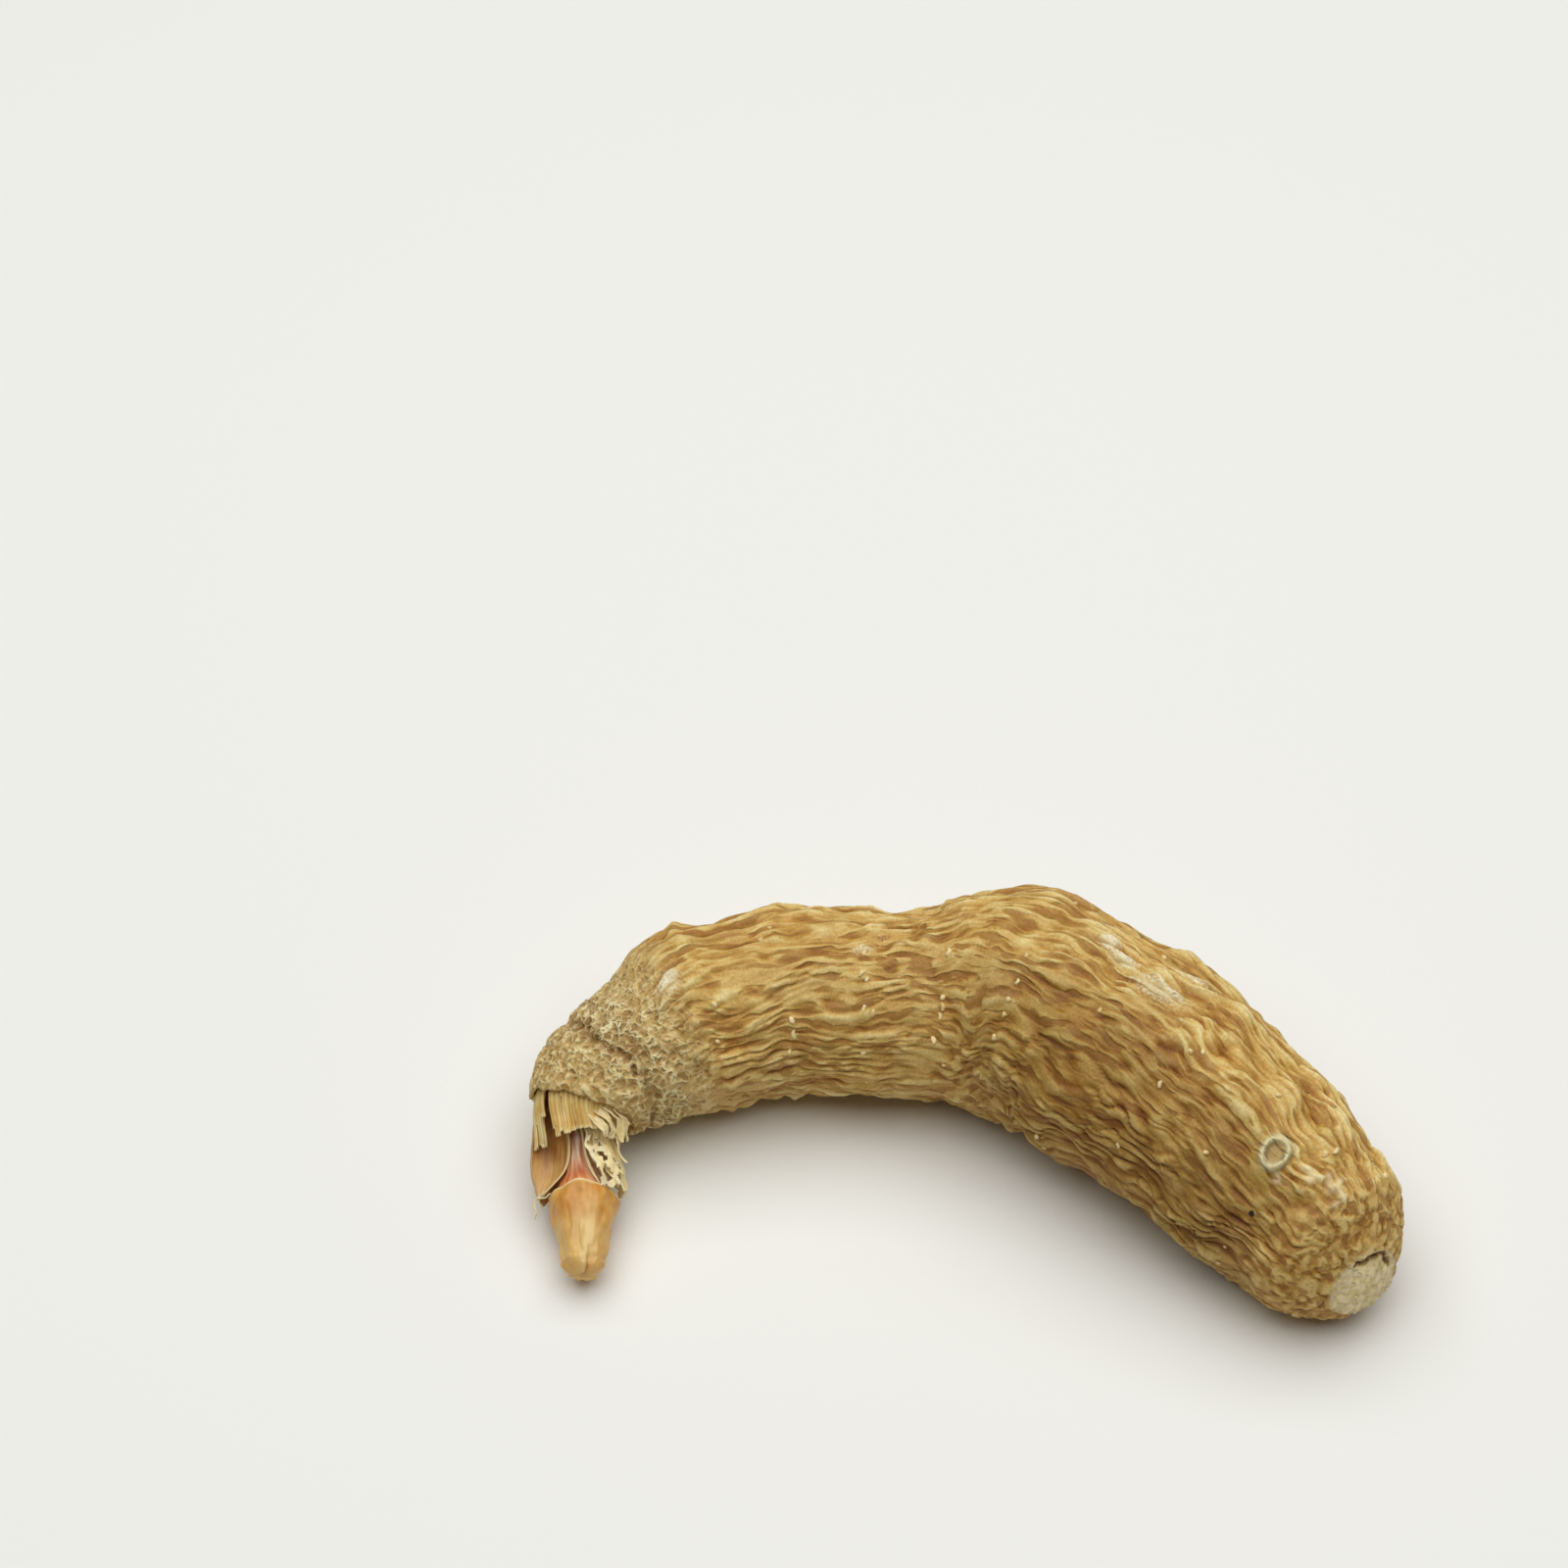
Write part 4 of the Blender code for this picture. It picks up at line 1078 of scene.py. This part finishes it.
def driedTip():
    # The shoot's closed outer end: shrunk to hard amber that light passes a little way into,
    # satin, with faint lengthwise fibres and a pale papery rim.
    material, tree, shader = newMaterial("driedShootAmber")
    out, rim, pale, stain = [
        addNode(tree, "Attribute", out="Fac", attribute_name=name)
        for name in ("out", "rim", "pale", "stain")]
    spot = addNode(tree, "TexCoord", out="Object")
    streakPlace = addNode(tree, "Mapping", {"Vector": spot, "Scale": (1400.0, 220.0, 1400.0)})
    streak = addNode(tree, "TexNoise", {"Vector": streakPlace, "Scale": 1.0, "Detail": 2.0})
    cloud = addNode(tree, "TexNoise", {"Vector": spot, "Scale": 330.0, "Detail": 2.0})
    amber = addNode(tree, "ValToRGB", {"Fac": cloud}, steps=[
        (0.3, "#cf8a34"), (0.5, "#dda24a"), (0.7, "#e8ba68")])
    streakTone = addNode(tree, "ValToRGB", {"Fac": streak}, steps=[(0.3, "#e2cfa6"), (0.6, "#ffffff")])
    streaked = addNode(tree, "MixRGB", {"Fac": 0.5, "Color1": amber, "Color2": streakTone},
                       blend_type="MULTIPLY")
    strawShare = addNode(tree, "MapRange", {"Value": out, "From Min": 15.0, "From Max": 20.0, "To Max": 0.6})
    straw = addNode(tree, "MixRGB", {"Fac": strawShare, "Color1": streaked, "Color2": linear("#dcb96e")})
    # painted highlight: the tip is painted paler along its upper side
    paleShare = addNode(tree, "Math", {0: pale, 1: 0.6}, operation="MULTIPLY")
    tipHighlighted = addNode(tree, "MixRGB", {"Fac": paleShare, "Color1": straw, "Color2": linear("#f0d694")})
    stained = addNode(tree, "MixRGB", {"Fac": stain, "Color1": tipHighlighted, "Color2": linear("#cc8c46")})
    rimmed = addNode(tree, "MixRGB", {"Fac": rim, "Color1": stained, "Color2": linear("#f2dca0")})
    tree.links.new(rimmed, shader.inputs["Base Color"])
    setInputs(shader, {"Roughness": 0.38, "Subsurface Weight": 0.3,
                       "Subsurface Radius": (1.0, 0.6, 0.25), "Subsurface Scale": 0.0015})
    bump = addNode(tree, "Bump", {"Height": streak, "Distance": 0.00008, "Strength": 0.6})
    tree.links.new(bump, shader.inputs["Normal"])
    return material


def dryLeaf(name, look):
    # Scale leaf dried on the plant: a thin papery membrane with lengthwise fibres, paler where it is torn.
    material, tree, shader = newMaterial(name)
    place = addNode(tree, "Attribute", out="Vector", attribute_name="leafPlace")
    edge = addNode(tree, "Attribute", out="Fac", attribute_name="edge")
    fibrePlace = addNode(tree, "Mapping", {"Vector": place, "Scale": (2.2, 0.22, 1.0)})
    fibre = addNode(tree, "TexNoise", {"Vector": fibrePlace, "Scale": 1.0, "Detail": 3.0})
    spot = addNode(tree, "TexCoord", out="Object")
    cloud = addNode(tree, "TexNoise", {"Vector": spot, "Scale": 380.0, "Detail": 2.0})
    fibred = addNode(tree, "ValToRGB", {"Fac": fibre}, steps=list(zip((0.32, 0.5, 0.68), look["fibres"])))
    cloudTone = addNode(tree, "ValToRGB", {"Fac": cloud}, steps=[(0.35, look["clouds"]), (0.6, "#ffffff")])
    clouded = addNode(tree, "MixRGB", {"Fac": 0.6, "Color1": fibred, "Color2": cloudTone},
                      blend_type="MULTIPLY")
    run = addNode(tree, "SeparateXYZ", {0: place}, out="Y")
    farShare = addNode(tree, "MapRange", {"Value": run, "From Min": 6.0, "From Max": 12.0, "To Max": 0.6})
    paler = addNode(tree, "MixRGB", {"Fac": farShare, "Color1": clouded, "Color2": linear(look["far"])})
    edged = addNode(tree, "MixRGB", {"Fac": edge, "Color1": paler, "Color2": linear(look["edge"])})
    tree.links.new(edged, shader.inputs["Base Color"])
    setInputs(shader, {"Roughness": look["rough"], "Subsurface Weight": 0.25,
                       "Subsurface Radius": (1.0, 0.7, 0.35), "Subsurface Scale": 0.0008})
    bump = addNode(tree, "Bump", {"Height": fibre, "Distance": 0.00008, "Strength": 0.8})
    tree.links.new(bump, shader.inputs["Normal"])
    return material


fringeLook = {
    "fibres": ("#dfb462", "#f3d68c", "#fbe8ae"), "clouds": "#e0c48c", "edge": "#f6e3a8",
    "rough": 0.6, "far": "#f0d68e",
}
cupLook = {
    "fibres": ("#a8743a", "#c08c48", "#d0a25e"), "clouds": "#dcbc88", "edge": "#ecd49a",
    "rough": 0.4, "far": "#e2ba78",
}
tornLook = {
    "fibres": ("#e8c478", "#f8e0a2", "#fff0c4"), "clouds": "#f4e2b8", "edge": "#fbecc0",
    "rough": 0.55, "far": "#fae4aa",
}

finishPiece(makeCore(), driedShoot(), "shoot_core")
finishPiece(makeTip(), driedTip(), "shoot_tip")
print("shoot made")
tornMembrane = dryLeaf("dryScaleMembrane", tornLook)
finishPiece(makeCollar(), dryLeaf("drySheathFringe", fringeLook), "scale_collar")
finishPiece(makeCup(), dryLeaf("dryScaleInside", cupLook), "scale_cup")
finishPiece(makeTorn(), tornMembrane, "scale_torn")
finishPiece(makeStrips(), tornMembrane)
print("scale leaves made")


# floor, light and camera

stageSet = {
    "floorColour": "#f4f4ee",
    "roomLight": 0.06,
    "softboxSpot": (0.0, 0.10, 0.90), "softboxSize": 1.45, "softboxPower": 13.3,
    "aim": (-21.9, 67.5, 0.0), "elevation": 45.0, "distance": 521.0, "lens": 85,
}


def makeStage():
    clearSelection()
    bpy.ops.mesh.primitive_plane_add(size=6, location=(0, 0, 0))
    floor = bpy.context.object
    floor.name = "studioTable"
    material, tree, shader = newMaterial("matteWhitePaper")
    shader.inputs["Base Color"].default_value = linear(stageSet["floorColour"])
    shader.inputs["Roughness"].default_value = 0.9
    shader.inputs["Specular IOR Level"].default_value = 0.1
    floor.data.materials.append(material)

    world = bpy.data.worlds.new("softRoom")
    bpy.context.scene.world = world
    world.use_nodes = True
    world.node_tree.nodes["Background"].inputs["Color"].default_value = linear("#ffffff")
    world.node_tree.nodes["Background"].inputs["Strength"].default_value = stageSet["roomLight"]

    light = bpy.data.lights.new("overheadSoftbox", "AREA")
    light.shape = "SQUARE"
    light.size = stageSet["softboxSize"]
    light.energy = stageSet["softboxPower"]
    box = bpy.data.objects.new("overheadSoftbox", light)
    bpy.context.scene.collection.objects.link(box)
    box.location = stageSet["softboxSpot"]
    box.rotation_euler = (-Vector(stageSet["softboxSpot"])).to_track_quat("-Z", "Y").to_euler()

    tilt = math.radians(stageSet["elevation"])
    aim = Vector(stageSet["aim"]) * mm
    back = Vector((0, -math.cos(tilt), math.sin(tilt)))
    camera = bpy.data.cameras.new("photoCamera")
    camera.lens = stageSet["lens"]
    camera.sensor_width = 36
    camera.clip_start = 0.01
    cameraObject = bpy.data.objects.new("photoCamera", camera)
    bpy.context.scene.collection.objects.link(cameraObject)
    cameraObject.location = aim + back * stageSet["distance"] * mm
    cameraObject.rotation_euler = (-back).to_track_quat("-Z", "Y").to_euler()
    bpy.context.scene.camera = cameraObject
    bpy.context.scene.view_settings.view_transform = "Standard"


makeStage()
print("stage set")
